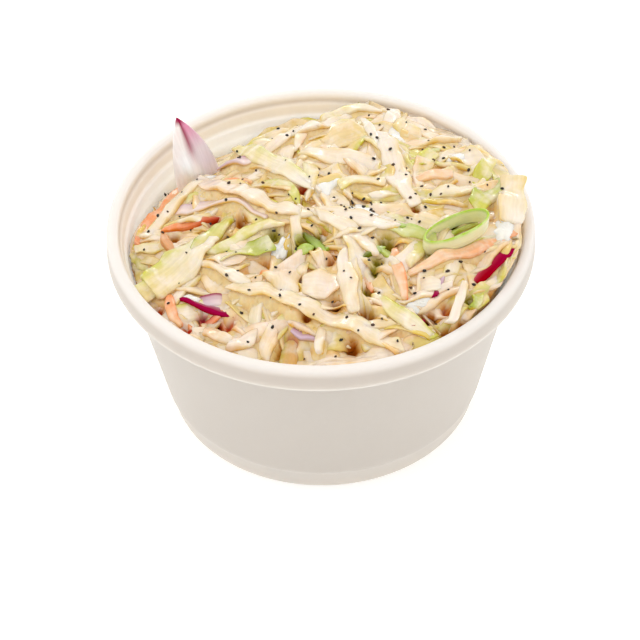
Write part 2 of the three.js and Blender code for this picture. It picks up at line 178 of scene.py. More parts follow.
def make_mesh(name, points, faces, colours=None, uv=None):
    """A smooth mesh object from points in millimetres and rows of corner numbers, quads and triangles
    mixed. colours is one linear (r, g, b) for each point, and uv one pair for each point, in
    millimetres."""
    mesh = bpy.data.meshes.new(name)
    flat = np.concatenate([np.asarray(rows, np.int32).ravel() for rows in faces])
    sizes = np.concatenate([np.full(len(rows), np.shape(rows)[1], np.int32) for rows in faces])
    mesh.vertices.add(len(points))
    mesh.vertices.foreach_set("co", (np.asarray(points, np.float64) * MM).ravel())
    mesh.loops.add(len(flat))
    mesh.loops.foreach_set("vertex_index", flat)
    mesh.polygons.add(len(sizes))
    mesh.polygons.foreach_set("loop_start", np.concatenate([[0], np.cumsum(sizes)[:-1]]).astype(np.int32))
    mesh.update(calc_edges=True)
    mesh.shade_smooth()
    if colours is not None:
        layer = mesh.color_attributes.new("tint", "FLOAT_COLOR", "POINT")
        layer.data.foreach_set("color", np.column_stack([colours, np.ones(len(points))]).ravel())
    if uv is not None:
        layer = mesh.uv_layers.new(name="grain")
        layer.data.foreach_set("uv", np.asarray(uv)[flat].ravel())
    mesh.validate()
    piece = bpy.data.objects.new(name, mesh)
    bpy.context.collection.objects.link(piece)
    return piece


def rounded(corners, steps=6):
    """An outline with its corners eased. Each corner is (radius, height, ease): a quadratic curve leaves
    one side and joins the other at that distance from the corner, or at under half of the shorter side."""
    points = np.array([corner[:2] for corner in corners], float)
    outline = [points[:1]]
    t = np.linspace(0, 1, steps)[:, None]
    eases = [corner[2] for corner in corners[1:-1]]
    for before, corner, after, ease in zip(points, points[1:], points[2:], eases):
        to_before, to_after = before - corner, after - corner
        reach = min(ease, 0.45 * np.linalg.norm(to_before), 0.45 * np.linalg.norm(to_after))
        start = corner + to_before / np.linalg.norm(to_before) * reach
        end = corner + to_after / np.linalg.norm(to_after) * reach
        outline.append((1 - t) ** 2 * start + 2 * t * (1 - t) * corner + t**2 * end)
    outline.append(points[-1:])
    return np.concatenate(outline)


def evened(outline, longest):
    """The outline with its long stretches cut into steps of at most the given length."""
    stretches = []
    for a, b in zip(outline, outline[1:]):
        steps = max(1, math.ceil(np.linalg.norm(b - a) / longest))
        stretches.append(a + (b - a) * np.arange(steps)[:, None] / steps)
    return np.concatenate([*stretches, outline[-1:]])


def full_turn(steps):
    """The angles of that many even steps round a circle."""
    return np.arange(steps) * 2 * np.pi / steps


def tube(rings, tips=(), flip=False):
    """Points and faces of a surface through rings of points, an array of (ring, side, axis). Two tips close
    its ends. Without them its last ring joins its first. flip turns its faces over."""
    count, sides = rings.shape[:2]
    here = np.arange(sides)
    there = np.roll(here, -1)
    row = np.arange(count - 1 if len(tips) else count)[:, None]
    start, after = row * sides, (row + 1) % count * sides
    corners = [start + here, start + there, after + there, after + here]
    points, faces = rings.reshape(-1, 3), [np.stack(corners, axis=-1).reshape(-1, 4)]
    if len(tips):
        tip = np.full(sides, count * sides)
        caps = [tip, there, here], [tip + 1, tip - sides + here, tip - sides + there]
        points = np.concatenate([points, tips])
        faces.append(np.concatenate([np.stack(cap, axis=-1) for cap in caps]))
    if flip:
        faces = [np.roll(rows[:, ::-1], 1, axis=1) for rows in faces]
    return points, faces


def revolve(outline, sides):
    """Points and faces of an outline turned about Z: (radius cos a, radius sin a, height) for every point
    and angle. The outline starts and ends on the axis, where single points close the surface."""
    angle = full_turn(sides)
    radius, height = outline[1:-1].T[..., None]
    rings = np.stack([radius * np.cos(angle), radius * np.sin(angle), height + 0 * angle], axis=-1)
    return tube(rings, [[0, 0, outline[0][1]], [0, 0, outline[-1][1]]])


lip_radius = RIM_RADIUS - LIP
band_foot = CUP_HEIGHT - BAND_HEIGHT
wall_foot_height = FOOT_HEIGHT + FOOT_STEP / 2
wall_foot_radius = FOOT_RADIUS + FOOT_DRAFT + FOOT_STEP
wall_slope = (WALL_TOP_RADIUS - wall_foot_radius) / (band_foot - wall_foot_height)


def inside_corners():
    """The cup's inside from the mouth down to the floor, as (radius, height, ease)."""
    corners = [(lip_radius, CUP_HEIGHT, 1.3)]
    radius = lip_radius
    for depth in LEDGES:
        corners.append((radius - 0.1, CUP_HEIGHT - depth + 0.6, 0.9))
        radius -= LEDGE
        corners.append((radius, CUP_HEIGHT - depth - 0.1, 0.9))
        radius -= LEDGE / 3
    straight_top = CUP_HEIGHT - LEDGES[-1] - 2.5
    straight_radius = wall_foot_radius + wall_slope * (straight_top - wall_foot_height) - WALL
    corners.append((straight_radius, straight_top, 1.5))
    corners.append((wall_foot_radius - WALL, wall_foot_height, 1.0))
    corners.append((wall_foot_radius - WALL - 1, FLOOR, 2.5))
    return corners


cup_corners = [
    (0, RECESS_DEPTH, 0),
    (FOOT_RADIUS - RING_WIDTH - 1, RECESS_DEPTH, 0.7),
    (FOOT_RADIUS - RING_WIDTH, 0, 0.6),
    (FOOT_RADIUS, 0, 0.9),
    (FOOT_RADIUS + FOOT_DRAFT, FOOT_HEIGHT, 0.3),
    (wall_foot_radius, wall_foot_height, 0.3),
    (WALL_TOP_RADIUS, band_foot + 0.2, 0.8),
    (RIM_RADIUS + BAND_DRAFT, band_foot, 1.1),
    (RIM_RADIUS, CUP_HEIGHT, 1.6),
    *inside_corners(),
    (0, FLOOR, 0),
]


def foam_material():
    """Moulded polystyrene foam: matte, faintly translucent and pebbled. Within the line of the wall it is
    brighter than outside, a painted light, and warmer there in patches, most of all low down. The top of the
    rim is lighter, a painted highlight."""
    material, tree, place = new_material("expanded_polystyrene_moulded")
    axes = add(tree, "SeparateXYZ", {0: place}).outputs
    flat = add(tree, "CombineXYZ", {"X": axes["X"], "Y": axes["Y"]})
    radius = add(tree, "VectorMath", {0: flat}, operation="LENGTH")
    straight = add(tree, "Math", {0: radius, 1: times(tree, axes["Z"], wall_slope)}, operation="SUBTRACT")
    wall_line = (wall_foot_radius - wall_slope * wall_foot_height) * MM
    inside = ramp(tree, straight, wall_line - 0.3 * MM, wall_line - 1.5 * MM)
    # Warmer inside in patches, the further down.
    reach = times(tree, ramp(tree, axes["Z"], CUP_HEIGHT * MM, (CUP_HEIGHT - WARM_DEPTH) * MM), inside)
    smear = add(tree, "TexNoise", {"Vector": place, "Scale": 55.0, "Detail": 3.0, "Roughness": 0.6})
    patchy = ramp(tree, smear, 0.3, 0.75)
    warm_share = add(tree, "Math", {0: reach, 1: 0.15, 2: patchy}, operation="MULTIPLY_ADD")
    # Painted highlight: lighter towards the top of the rim.
    upper = ramp(tree, axes["Z"], (CUP_HEIGHT - RIM_DEPTH) * MM, CUP_HEIGHT * MM)
    skin = mix(tree, upper, linear(FOAM_WHITE), linear(FOAM_RIM_HIGHLIGHT))
    # Painted light: the inside lighter than the outside.
    lit_inside = mix(tree, inside, skin, linear(FOAM_INSIDE_LIT))
    beads = add(tree, "TexVoronoi", {"Vector": place, "Scale": 1 / (BEAD * MM), "Randomness": 1.0})
    pits = add(tree, "TexNoise", {"Vector": place, "Scale": 900.0, "Detail": 2.0})
    height = add(tree, "Math", {0: pits, 1: 0.3, 2: beads}, operation="MULTIPLY_ADD")
    surface(
        tree,
        Base_Color=mix(tree, times(tree, warm_share, reach), lit_inside, linear(FOAM_WARM)),
        Roughness=0.62,
        IOR=1.45,
        Subsurface_Weight=1.0,
        Subsurface_Radius=(1.0, 0.97, 0.94),
        Subsurface_Scale=0.006,
        Normal=relief(tree, height, 0.12, 0.0003),
    )
    return material


cup = make_mesh("moulded_foam_cup", *revolve(evened(rounded(cup_corners), CUP_STEP), CUP_SIDES))
cup.data.materials.append(foam_material())
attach(cup, "root")
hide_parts("foam_cup")

# ---- How the shreds lie ----------------------------------
# The slaw is a pile: every shred lies on those under it, bridges the dips and hangs over the edges. Each is
# laid along an arc seen from above on a grid of heights, which it then raises for those that come after it.

GAP = 0.35  # clearance between slaw and foam
CROWN = 6.3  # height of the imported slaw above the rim, at its middle
CROWN_AT = (6.0, 4.0)
CROWN_REACH = 56.0
EDGE_DROP = 7.5  # its level at the wall, below the rim
HOLLOW = 10.0  # further drop towards the back left
HOLLOW_SIDE = (-0.7, 0.71)
BANK = 3.0  # rise towards the right
BANK_SIDE = (0.97, -0.24)
SIDE_START = 15.0  # the hollow and the bank start this far from the axis and grow over the next stretch
SIDE_REACH = 35.0
LUMP = 0.7  # its unevenness
SINK = 0.7  # how deep a shred is pressed into what it lies on
STIFFNESS = 0.035  # a shred bridges dips tighter than a parabola of this curvature
LOFT = 2.0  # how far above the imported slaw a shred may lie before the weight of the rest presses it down
PRESSED = 0.35  # share of the further height that is left
CELL = 0.5  # of the grid of heights
HALF_GRID = 60.0
STATION = 0.9  # spacing of the points along a shred
DIVE = 0.1  # clearance of a shred that passes under another
EASE = 2.0  # spread of the bell curve that smooths a shred's rise and fall
SWAY = 0.06  # how far a shred wanders aside, as a share of its width
SWELL = 0.12  # how far its width swings, and its thickness
THICKEN = 0.16
ROLL = 3.4  # how far its tipping runs through its wave over its length, in radians


def side_at(x, y, side, most=1.0):
    """How far a place lies towards a side, from 0 to the most that is given."""
    return np.clip((x * side[0] + y * side[1] - SIDE_START) / SIDE_REACH, 0, most)


def hollow_at(x, y):
    """How far a place lies into the hollow at the back left, from 0 to just over 1 at the wall."""
    return side_at(x, y, HOLLOW_SIDE, 1.3)


def heap_at(x, y):
    """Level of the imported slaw: a parabolic dome, less the square of the way into the hollow, plus the way
    into the bank and small waves."""
    reach = np.hypot(x - CROWN_AT[0], y - CROWN_AT[1]) / CROWN_REACH
    dome = (CROWN + EDGE_DROP) * np.clip(1 - reach**2, -0.3, 1)
    lumps = LUMP * (np.sin(x / 3.1 + 1) * np.sin(y / 2.7) + np.sin((x + y) / 4.3))
    hollow, bank = HOLLOW * hollow_at(x, y) ** 2, BANK * side_at(x, y, BANK_SIDE)
    return CUP_HEIGHT - EDGE_DROP + dome - hollow + bank + lumps


inside_radii, inside_heights = np.array([corner[:2] for corner in inside_corners()]).T[:, ::-1]


def inside_at(z):
    """Radius of the cup's inside at a height."""
    return np.interp(z, inside_heights, inside_radii)


grid_line = np.arange(-HALF_GRID, HALF_GRID + CELL, CELL)
grid_x, grid_y = np.meshgrid(grid_line, grid_line)
on_rim = np.hypot(grid_x, grid_y) > lip_radius - 0.6
level = np.where(on_rim, CUP_HEIGHT + GAP + SINK, heap_at(grid_x, grid_y))


def cell_of(x, y):
    """Row and column of the grid's nearest point."""
    column = np.clip(np.rint((x + HALF_GRID) / CELL).astype(int), 0, len(grid_line) - 1)
    row = np.clip(np.rint((y + HALF_GRID) / CELL).astype(int), 0, len(grid_line) - 1)
    return row, column


def blurred(values, spread):
    """Values on the grid, each the mean of its neighbours weighted by a bell curve of that spread, in
    millimetres."""
    taps = np.arange(-math.ceil(2.5 * spread / CELL), math.ceil(2.5 * spread / CELL) + 1)
    weights = np.exp(-0.5 * (taps * CELL / spread) ** 2)
    weights /= weights.sum()
    for axis in (0, 1):
        values = sum(w * np.roll(values, tap, axis) for w, tap in zip(weights, taps))
    return values


def settled(spread):
    """The blurred level of the heap inside the cup, which takes no notice of the rim."""
    weights = blurred((~on_rim).astype(float), spread)
    return blurred(np.where(on_rim, 0, level), spread) / np.maximum(weights, 1e-3)


def wander(random, count, spread):
    """A smooth random line of that many points with unit swing: a few sines of falling height."""
    s = np.linspace(0, 1, count)
    waves = [np.sin(2 * np.pi * (k * spread * s + random.random())) / k for k in (0.6, 1.1, 2.3)]
    return sum(waves) / 2


# Thickness, share of the width left at the ends, tip about its length in degrees, and how the section is
# shaped: squareness from 0, round, to 1, square, the hollow of its upper face as a share of its thickness,
# the height of the waves along its long edges, and how far on the slant its ends are cut as a share of its
# half width.
SECTIONS = {
    "strip": (1.8, 0.46, 28, 0.5, 0.2, 0.3, 1.1),
    "wide": (1.8, 0.34, 20, 0.5, 0.35, 0.4, 0.8),
    "leaf": (1.1, 0.58, 28, 0.5, 0.6, 0.5, 0.7),
    "flap": (1.2, 0.7, 26, 0.5, 0.5, 0.3, 0.3),
    "chunk": (2.2, 0.66, 20, 0.45, 0.12, 0.35, 0.8),
    "carrot": (1.9, 0.24, 10, 0.85, 0.05, 0.0, 0.6),
    "onion": (1.4, 0.4, 30, 0.6, 0.35, 0.1, 0.5),
    "bit": (1.3, 0.5, 24, 0.5, 0.1, 0.1, 1.0),
}
SECTION_KEYS = ("thickness", "ends", "tip", "square", "dish", "ruffle", "slant")
KINDS = {name: dict(zip(SECTION_KEYS, values)) for name, values in SECTIONS.items()}
KINDS["flap"]["over_rim"] = True
KINDS["bit"] |= {"soaked": True, "station": 1.2}


def lay(shape, roll, random, ground, sink=SINK, ceiling=None):
    """Lays a shred on a grid of heights. shape is (kind, middle x, middle y, heading, length, width, bend),
    with angles in degrees. Its underside is the highest of the parabolas that hang from every point of the
    surface under it, so that it bridges dips, and it rolls about its length as a sine from the phase given.
    A soaked one follows the mean of that surface instead, and dives under the ceiling."""
    kind_name, x, y, heading, length, width, bend = shape
    kind = KINDS[kind_name]
    count = max(8, round(length / kind.get("station", STATION))) + 1
    share = np.linspace(0, 1, count)
    along = share * length
    turn = math.radians(bend)
    angle = math.radians(heading) + turn * (share - 0.5)
    middle = (angle[1:] + angle[:-1]) / 2
    steps = np.column_stack([np.cos(middle), np.sin(middle)]) * length / (count - 1)
    place = np.concatenate([[[0.0, 0.0]], np.cumsum(steps, axis=0)])
    place += np.array([x, y]) - place.mean(axis=0)
    across = np.column_stack([-np.sin(angle), np.cos(angle)])
    place += across * (SWAY * width * wander(random, count, length / 12))[:, None]
    if not kind.get("over_rim"):
        limit = inside_at(np.minimum(ground[cell_of(*place.T)], CUP_HEIGHT - 1)) - GAP - 0.3
        distance = np.hypot(*place.T)
        outermost = distance + np.abs((across * place).sum(axis=1) / np.maximum(distance, 1)) * width * 0.4
        place *= np.minimum(1, limit / outermost)[:, None]
    spots = [cell_of(*(place + across * v * width).T) for v in (-0.35, -0.17, 0, 0.17, 0.35)]
    samples = [ground[spot] for spot in spots]
    if kind.get("soaked"):
        hung = np.mean(samples, axis=0)
        if ceiling is not None:
            lowest = np.min([ceiling[spot] for spot in spots], axis=0)
            hung = np.minimum(hung, lowest - kind["thickness"] - DIVE + sink)
    else:
        rest = np.max(samples, axis=0)
        hung = np.max(rest[None, :] - STIFFNESS * (along[:, None] - along[None, :]) ** 2, axis=1)
    bell = np.exp(-0.5 * ((along[:, None] - along[None, :]) / EASE) ** 2)
    hung = bell @ hung / bell.sum(axis=1)
    first, last = np.minimum(1, kind["ends"] * random.uniform(0.55, 1.3, 2))
    ends = first + (last - first) * share
    narrow = ends + (1 - ends) * np.sqrt(np.sin(np.pi * np.clip(share, 0.04, 0.96)))
    half = width / 2 * narrow * (1 + SWELL * wander(random, count, length / 9))
    tip = math.radians(kind["tip"]) * np.sin(roll + ROLL * share)
    side = np.column_stack([across * np.cos(tip)[:, None], np.sin(tip)])
    up = np.column_stack([-across * np.sin(tip)[:, None], np.cos(tip)])
    thick = kind["thickness"] * (0.7 + 0.3 * narrow) * (1 + THICKEN * wander(random, count, length / 8))
    low = hung - sink
    if not kind.get("over_rim"):
        low -= (1 - PRESSED) * np.maximum(0, low - heap_at(*place.T) - LOFT)
    foot = np.column_stack([place, low + half * np.abs(np.sin(tip))])
    return {
        "kind": kind,
        "centre": foot + up * (thick / 2)[:, None],
        "side": side,
        "up": up,
        "half": half,
        "thick": thick,
        "along": along,
        "slants": kind["slant"] * random.uniform(-1, 1, 2),
        "lean": random.uniform(-0.4, 0.4),
    }


def raise_level(path):
    """Lifts the grid to the rounded upper face of a shred that lies on it."""
    v = np.linspace(-1, 1, 11)
    spots = path["centre"][:, None] + path["side"][:, None] * (v[:, None] * path["half"][:, None, None])
    spots += path["up"][:, None] * ((1 - np.abs(v) ** 3) ** (1 / 3) * (path["thick"] / 2)[:, None])[..., None]
    spots = np.concatenate([spots, (spots[1:] + spots[:-1]) / 2]).reshape(-1, 3)
    np.maximum.at(level, cell_of(spots[:, 0], spots[:, 1]), spots[:, 2])


def draws(seed):
    """An endless repeatable stream of numbers from 0 to 1, mixed by shifts and products of 32-bit
    numbers."""
    mask = 0xFFFFFFFF
    state = seed
    while True:
        state = (state + 0x6D2B79F5) & mask
        mixed = ((state ^ (state >> 15)) * (1 | state)) & mask
        mixed = ((mixed + (((mixed ^ (mixed >> 7)) * (61 | mixed)) & mask)) & mask) ^ mixed
        yield (mixed ^ (mixed >> 14)) / 4294967296


# ---- Which shreds there are ------------------------------
# A mandoline cuts the cabbage into ribbons and the carrot into matchsticks, the onions are sliced by hand,
# and all are tossed together. Each row is laid on those before it: the plant, the kind, the place of its
# middle, its heading, length, width and bend, its two end colours and the colour of one long edge.

CABBAGE = {
    "cream": "F0D292",
    "milk": "F8E8CC",
    "blush": "F2CA9C",
    "butter": "EAC95C",
    "pale": "E7D472",
    "leaf": "D0CC36",
    "lime": "AAB60E",
    "glass": "EAD07A",
}


def read_rows(table):
    """The words and numbers of each line of a table."""
    lines = table.strip().splitlines()
    return [[float(word) if word[-1].isdigit() else word for word in line.split()] for line in lines]


SHREDS = read_rows("""
carrot carrot -44.2 11 63 29 3.4 -14 orange coral orange
cabbage leaf -43 -6 -30 14 3.4 -30 pale butter pale
carrot carrot -40 -7 -55 11 3 60 amber amber amber
carrot carrot -33.5 -0.3 -3 17 3.4 10 orange red orange
cabbage leaf -34 -9 5 9 5 0 cream blush cream
cabbage leaf -19 -16 8 12 6 0 leaf lime lime
cabbage leaf 8 27 20 14 8 0 cream butter cream
cabbage strip -10 27 38 23 2.8 -75 cream cream cream
cabbage strip 8 43 25 19 3 -65 pale milk pale
cabbage chunk 24.5 34 -30 7 6 0 glass cream glass
cabbage strip 35 22.8 38 13 3 0 cream butter cream
cabbage leaf 40 19.3 10 9 6 0 glass cream glass
cabbage strip 36 3.3 8 15 4 0 pale cream pale
carrot carrot 30.5 8.9 15 10 3.4 0 peach pink peach
cabbage leaf 28.5 18.3 60 8 4.4 0 leaf pale leaf
cabbage chunk 23.8 -18.8 70 7.5 6 0 pale leaf pale
cabbage leaf 26 -29 0 10 5 0 cream milk cream
cabbage chunk 0 -29 -10 9 8 0 cream blush cream
cabbage chunk -10 -26.5 85 10 10 0 cream blush cream
cabbage leaf -25.5 -18.5 -8 10 3.6 0 cream blush cream
cabbage strip 29 -33 23 16 3.4 0 cream blush cream
cabbage strip 35 -34.8 68 12 2.8 0 milk cream milk
cabbage leaf 39.5 -29.6 -82 13 3.2 -30 leaf lime leaf
cabbage strip 48.8 -17 63 26 2.8 28 cream blush cream
carrot carrot -39 -29.5 -75 11 3 0 orange peach orange
carrot carrot -33 -36 -60 8 2.6 0 orange peach orange
cabbage chunk -21 -43 20 7 4.5 0 blush cream blush
cabbage chunk -14 -44.5 80 8 4.5 0 cream blush cream
cabbage chunk -27 -40 -25 8 3.6 0 blush cream blush
cabbage strip -1 -42 -14 15 3 0 blush cream blush
cabbage strip 4 -48.5 3 32 3 24 cream blush cream
cabbage strip -0.5 -44.5 -88 8 3 0 cream milk cream
cabbage wide -38.5 -17.5 36 24 11.5 14 glass milk leaf
cabbage strip -28.5 -8.5 48 17 4.6 0 pale leaf lime
cabbage strip -20 -11.5 18 20 3.6 -45 leaf pale leaf
cabbage strip -25.5 -22.5 -32 16 3.8 0 cream milk cream
onion onion -28 -28 -15 11 3.6 0 lilac veil magenta
onion onion -30.5 -30 -28 16 3.3 25 magenta magenta lilac
cabbage strip 21 -38 -42 20 4.4 35 pale milk leaf
cabbage strip 7 -27.5 -84 19 5.2 8 milk cream cream
cabbage wide -2 -37 -23 47 7.0 10 cream cream pale
carrot carrot 20.2 -26 -81 15.5 3.3 0 coral pink orange
carrot carrot 39.3 -16.6 31 38 3.5 24 pink orange peach
onion onion 45.6 -20.6 54 15.5 4.2 8 crimson magenta rose
spring strip 22.5 -13.2 -12 15 4.2 0 pale sap bright
cabbage leaf 45.5 4.3 52 17 6.4 0 leaf lime lime
cabbage leaf 44.5 15.2 65 11 4.6 0 leaf pale leaf
cabbage flap 51 0.6 80 14 8 0 milk glass cream
cabbage strip 6 16.5 -10 21 5.2 -12 cream milk cream
cabbage strip 11 5 15 12 4.6 -30 pale cream pale
cabbage strip -11 6 -40 20 3 -110 pale leaf leaf
cabbage strip -13 17 -53 35 5.2 15 pale milk leaf
onion onion -27 2.5 -28 31 4.4 -35 veil veil lilac
cabbage strip -38.2 10.4 50 27 4.0 15 cream cream pale
cabbage wide -20 4 -42 40 6.4 40 blush cream cream
cabbage strip 9 -8.5 -22 23 4.6 -10 cream milk cream
cabbage strip 7.5 -13 -45 20 4.4 -30 cream cream cream
cabbage strip 14.5 29 -77 17 2.6 0 milk milk milk
cabbage wide 20.5 12.5 -78 32 6.4 12 milk milk cream
cabbage chunk 20 41 80 8 5 0 milk cream milk
onion onion -22.5 20.5 -18 9 4.4 30 lilac veil magenta
""")
SCRAPS = read_rows("""
carrot bit -22 13 -25 8 2.6 0 orange peach orange
cabbage bit -4 5.7 -46 11 1.6 0 milk milk milk
cabbage bit -19 -35.5 -42 14 3.2 15 glass cream pale
onion bit -5 -42.5 -30 6 2.6 20 lilac lilac magenta
onion bit 30.3 -29.8 62 6 1.7 10 magenta lilac magenta
onion bit 24 -40.7 40 5 1.4 0 crimson magenta crimson
spring bit -2 -15.5 -35 7 3.0 30 dark bright dark
spring bit -4.5 -18.5 5 4.4 3.4 0 sap bright bright
spring bit 2 -16 60 5 2.2 0 bright dark bright
spring bit 13.5 -19.8 40 6 2.2 10 dark bright bright
spring bit 17 -19.4 -30 6 2.4 20 bright sap dark
spring bit 21 -12.4 -8 11 1.6 10 bright bright bright
spring bit 35 -11.6 30 17 1.5 12 bright sap bright
spring bit 30 22.2 50 6 3.0 10 sap pale bright
carrot bit 12 -27.3 -60 5 2.2 0 peach orange peach
carrot bit -14 -24 -30 4 2.4 0 orange peach peach
carrot bit -30 -34 20 9 2.4 30 red orange red
cabbage bit 27 -31.8 22 14 3.2 10 cream blush cream
cabbage bit 12 -40.6 18 12 3.0 -20 blush cream cream
cabbage bit -29 -38 -28 10 3.2 10 cream blush cream
""")
SCATTERED = 78  # places for plain strips, laid first where none of the others has its middle near
SCATTERED_REACH = 43.0
SCATTERED_APART = 5.5
SCATTERED_OUT = 0.5  # they stop this far into the hollow
SCATTERED_LENGTH = (13.0, 25.0)
SCATTERED_WIDTH = (3.0, 4.6)
SCATTERED_BEND = 80.0
GOLDEN = 2.39996  # turn from one place to the next on a spiral that spreads them evenly
PLAIN = ("cream", "blush", "cream", "pale", "butter", "milk", "cream", "glass", "leaf")
BED_SPREAD = 1.4  # scraps lie in a bed, the level blurred over this spread and the next
BROAD_SPREAD = 5.0
BED_DROP = 0.35
BED_WAVE = 0.4
FILM_SPREAD = 0.9  # the dressing shows between them, at the level blurred over this spread
FILM_DROP = 0.8
SCRAP_SINK = 0.4
UNDER_BITS = 195  # more shreds in the dressing between these
UNDER_REACH = 50.5
UNDER_LENGTH = (12.0, 34.0)
UNDER_WIDTH = (3.0, 6.0)
UNDER_SINK = (0.3, 1.3)
UNDER_TURN = 24.0  # how far they stray from the heading of the nearest shred above, in degrees
UNDER_BEND = 70.0
WALL_BITS = 52  # and others, turned along the wall
WALL_REACH = 50.2
WALL_TURN = 50.0
BACK_CLEARED = 0.42  # how much less deep the gaps are at the back, and less darkened by painted shade

order = draws(11)
chance = np.random.default_rng(7)
laid = {"cabbage": [], "carrot": [], "onion": [], "spring": [], "under": []}


def richness_at(y):
    """How deep the gaps are, and how dark their painted shade: least towards the back, where more dressing
    has gathered.
    """
    return 1 - BACK_CLEARED * np.clip((y + 5) / 25, 0, 1)


def between(span, share):
    """The value that lies at that share of a span."""
    return span[0] + (span[1] - span[0]) * share


def put(plant, shred, colours, depth=0.0):
    """Keeps a shred that has been laid, and raises the level for those that come after it."""
    laid[plant].append((shred, *colours, depth))
    raise_level(shred)


for i in range(SCATTERED):
    r = SCATTERED_REACH * math.sqrt((i + 0.5) / SCATTERED)
    x, y = r * math.cos(i * GOLDEN), r * math.sin(i * GOLDEN)
    taken = any(math.hypot(row[2] - x, row[3] - y) < SCATTERED_APART for row in SHREDS)
    if taken or hollow_at(x, y) > SCATTERED_OUT:
        continue
    size = between(SCATTERED_LENGTH, next(order)), between(SCATTERED_WIDTH, next(order))
    shape = ("strip", x, y, 360 * next(order), *size, SCATTERED_BEND * (next(order) - 0.5))
    # Each gets a touch of painted shade.
    put("cabbage", lay(shape, next(order) * math.tau, chance, level), chance.choice(PLAIN, 3), 0.05)

before = level.copy()
for plant, *row in SHREDS:
    put(plant, lay(row[:7], next(order) * math.tau, chance, level), row[7:])

waves = np.sin(grid_x / 2.9 + 2 * np.sin(grid_y / 5.1)) * np.sin(grid_y / 3.3 + 1.7 * np.sin(grid_x / 4.7))
near_level = settled(BED_SPREAD)
bed_level = np.minimum(near_level, settled(BROAD_SPREAD) - 0.2) - BED_DROP - BED_WAVE * waves

for plant, *row in SCRAPS:
    put(plant, lay(row[:7], math.tau * chance.random(), chance, near_level, SCRAP_SINK), row[7:])
ceiling = np.where(level > before + 0.05, level, np.inf)

# ---- Gaps ------------------------------------------------
# Here and there the topmost shreds leave a deep gap, and what lies in it is pushed down and darkened with
# # painted shade in warm brown, olive, red and rose.

GAP_SHADE_COLOURS = {"brown": "9A4C08", "olive": "7C7008", "red": "A62C0A", "rose": "9C2A34"}
# Place, radius and colour of the painted shade.
GAPS = read_rows("""
16 -19 1.8 brown
13.5 -20 1.6 olive
17 -16.5 2.0 olive
34 -38.5 1.6 brown
32 -40.5 1.5 brown
33 -36 1.4 red
-28 -0.5 1.6 red
-29.5 -31.5 1.3 rose
-34 -33.5 1.5 red
-28 -36.5 1.5 red
-1.5 -14.5 1.6 olive
-5 -15.5 2.0 olive
-7 -19 1.8 olive
-2 -17.5 1.5 brown
-6.5 5.5 1.5 red
8.5 -44.5 1.8 brown
12.5 -41 1.4 brown
9 -39 1.5 brown
25 -38 1.4 red
27 -34.5 1.4 brown
-13 -11.5 1.8 olive
-23 -14 1.4 brown
-21 -5 1.6 brown
-4 -39.5 1.3 brown
-6 -41.5 1.5 rose
3 -21.5 1.3 brown
24.5 -3 1.5 brown
3.5 -34 1.3 brown
-6.5 -26.5 1.2 brown
-40.5 -28 1.3 red
36.5 -13.5 1.4 brown
35 -10 1.5 olive
13 -29.5 1.2 olive
12 -26 1.2 olive
-41 -4.5 1.6 brown
28 -20.5 1.3 olive
39 -32.5 1.5 olive
-12 -30.5 1.1 brown
-24 -36.5 1.3 red
""")
GAP_DEPTH = 3.0
GAP_SEARCH = 5.0  # how far a gap gives way to the shreds over it
GAP_SHADE_SHARE = 1.8


def rgb(code):
    """An sRGB hex colour as an array of linear red, green and blue."""
    return np.array(linear(code)[:3])


gap_centres = []
open_share = blurred((level <= before + 0.05).astype(float), 0.7)
for x, y, reach, colour in GAPS:
    fit = open_share - ((grid_x - x) ** 2 + (grid_y - y) ** 2) / GAP_SEARCH**2
    best = np.unravel_index(fit.argmax(), fit.shape)
    gap_centres.append((grid_x[best], grid_y[best], reach, rgb(GAP_SHADE_COLOURS[colour])))


def sink_into_gaps(points, tint):
    """Points pushed down by a bell curve round each gap, and tints turned to the gap's painted shade by the
    geometric mean that its square weights, which keeps them warm on the way."""
    points, tint = points.copy(), tint.copy()
    for x, y, reach, colour in gap_centres:
        bell = np.exp(-(((points[:, 0] - x) ** 2 + (points[:, 1] - y) ** 2) / reach**2))
        points[:, 2] -= GAP_DEPTH * bell
        share = np.minimum(1, GAP_SHADE_SHARE * bell**2)[:, None]
        # Painted shade in the gap.
        tint = tint ** (1 - share) * colour**share
    return points, tint


for i in range(UNDER_BITS + WALL_BITS):
    by_wall = i >= UNDER_BITS
    r = WALL_REACH if by_wall else UNDER_REACH * math.sqrt((i + 0.5) / UNDER_BITS)
    turn = i * GOLDEN
    x, y = r * math.cos(turn), r * math.sin(turn)
    nearest = min(SHREDS, key=lambda row: math.hypot(row[2] - x, row[3] - y))
    along_wall = math.degrees(turn) + 90 + WALL_TURN * (chance.random() - 0.5)
    heading = along_wall if by_wall else nearest[4] + UNDER_TURN * chance.normal()
    size = between(UNDER_LENGTH, chance.random() ** 1.5), between(UNDER_WIDTH, chance.random())
    shape = ("bit", x, y, heading, *size, UNDER_BEND * (chance.random() - 0.5))
    deep = chance.random()
    bit = lay(shape, math.tau * chance.random(), chance, bed_level, between(UNDER_SINK, deep), ceiling)
    # The deeper a scrap is sunk, the more painted shade darkens it.
    put("under", bit, chance.choice(PLAIN, 3), (0.1 + 0.6 * deep) * richness_at(y))

film_level = settled(FILM_SPREAD) - FILM_DROP * richness_at(grid_y)

# ---- Cabbage ---------------------------------------------
# White cabbage cut across the head: cream ribbons with soft square edges, near-white where they come from
# the rib and yellow-green where they come from an outer leaf. The dressing wets them, so they shine and run
# together.

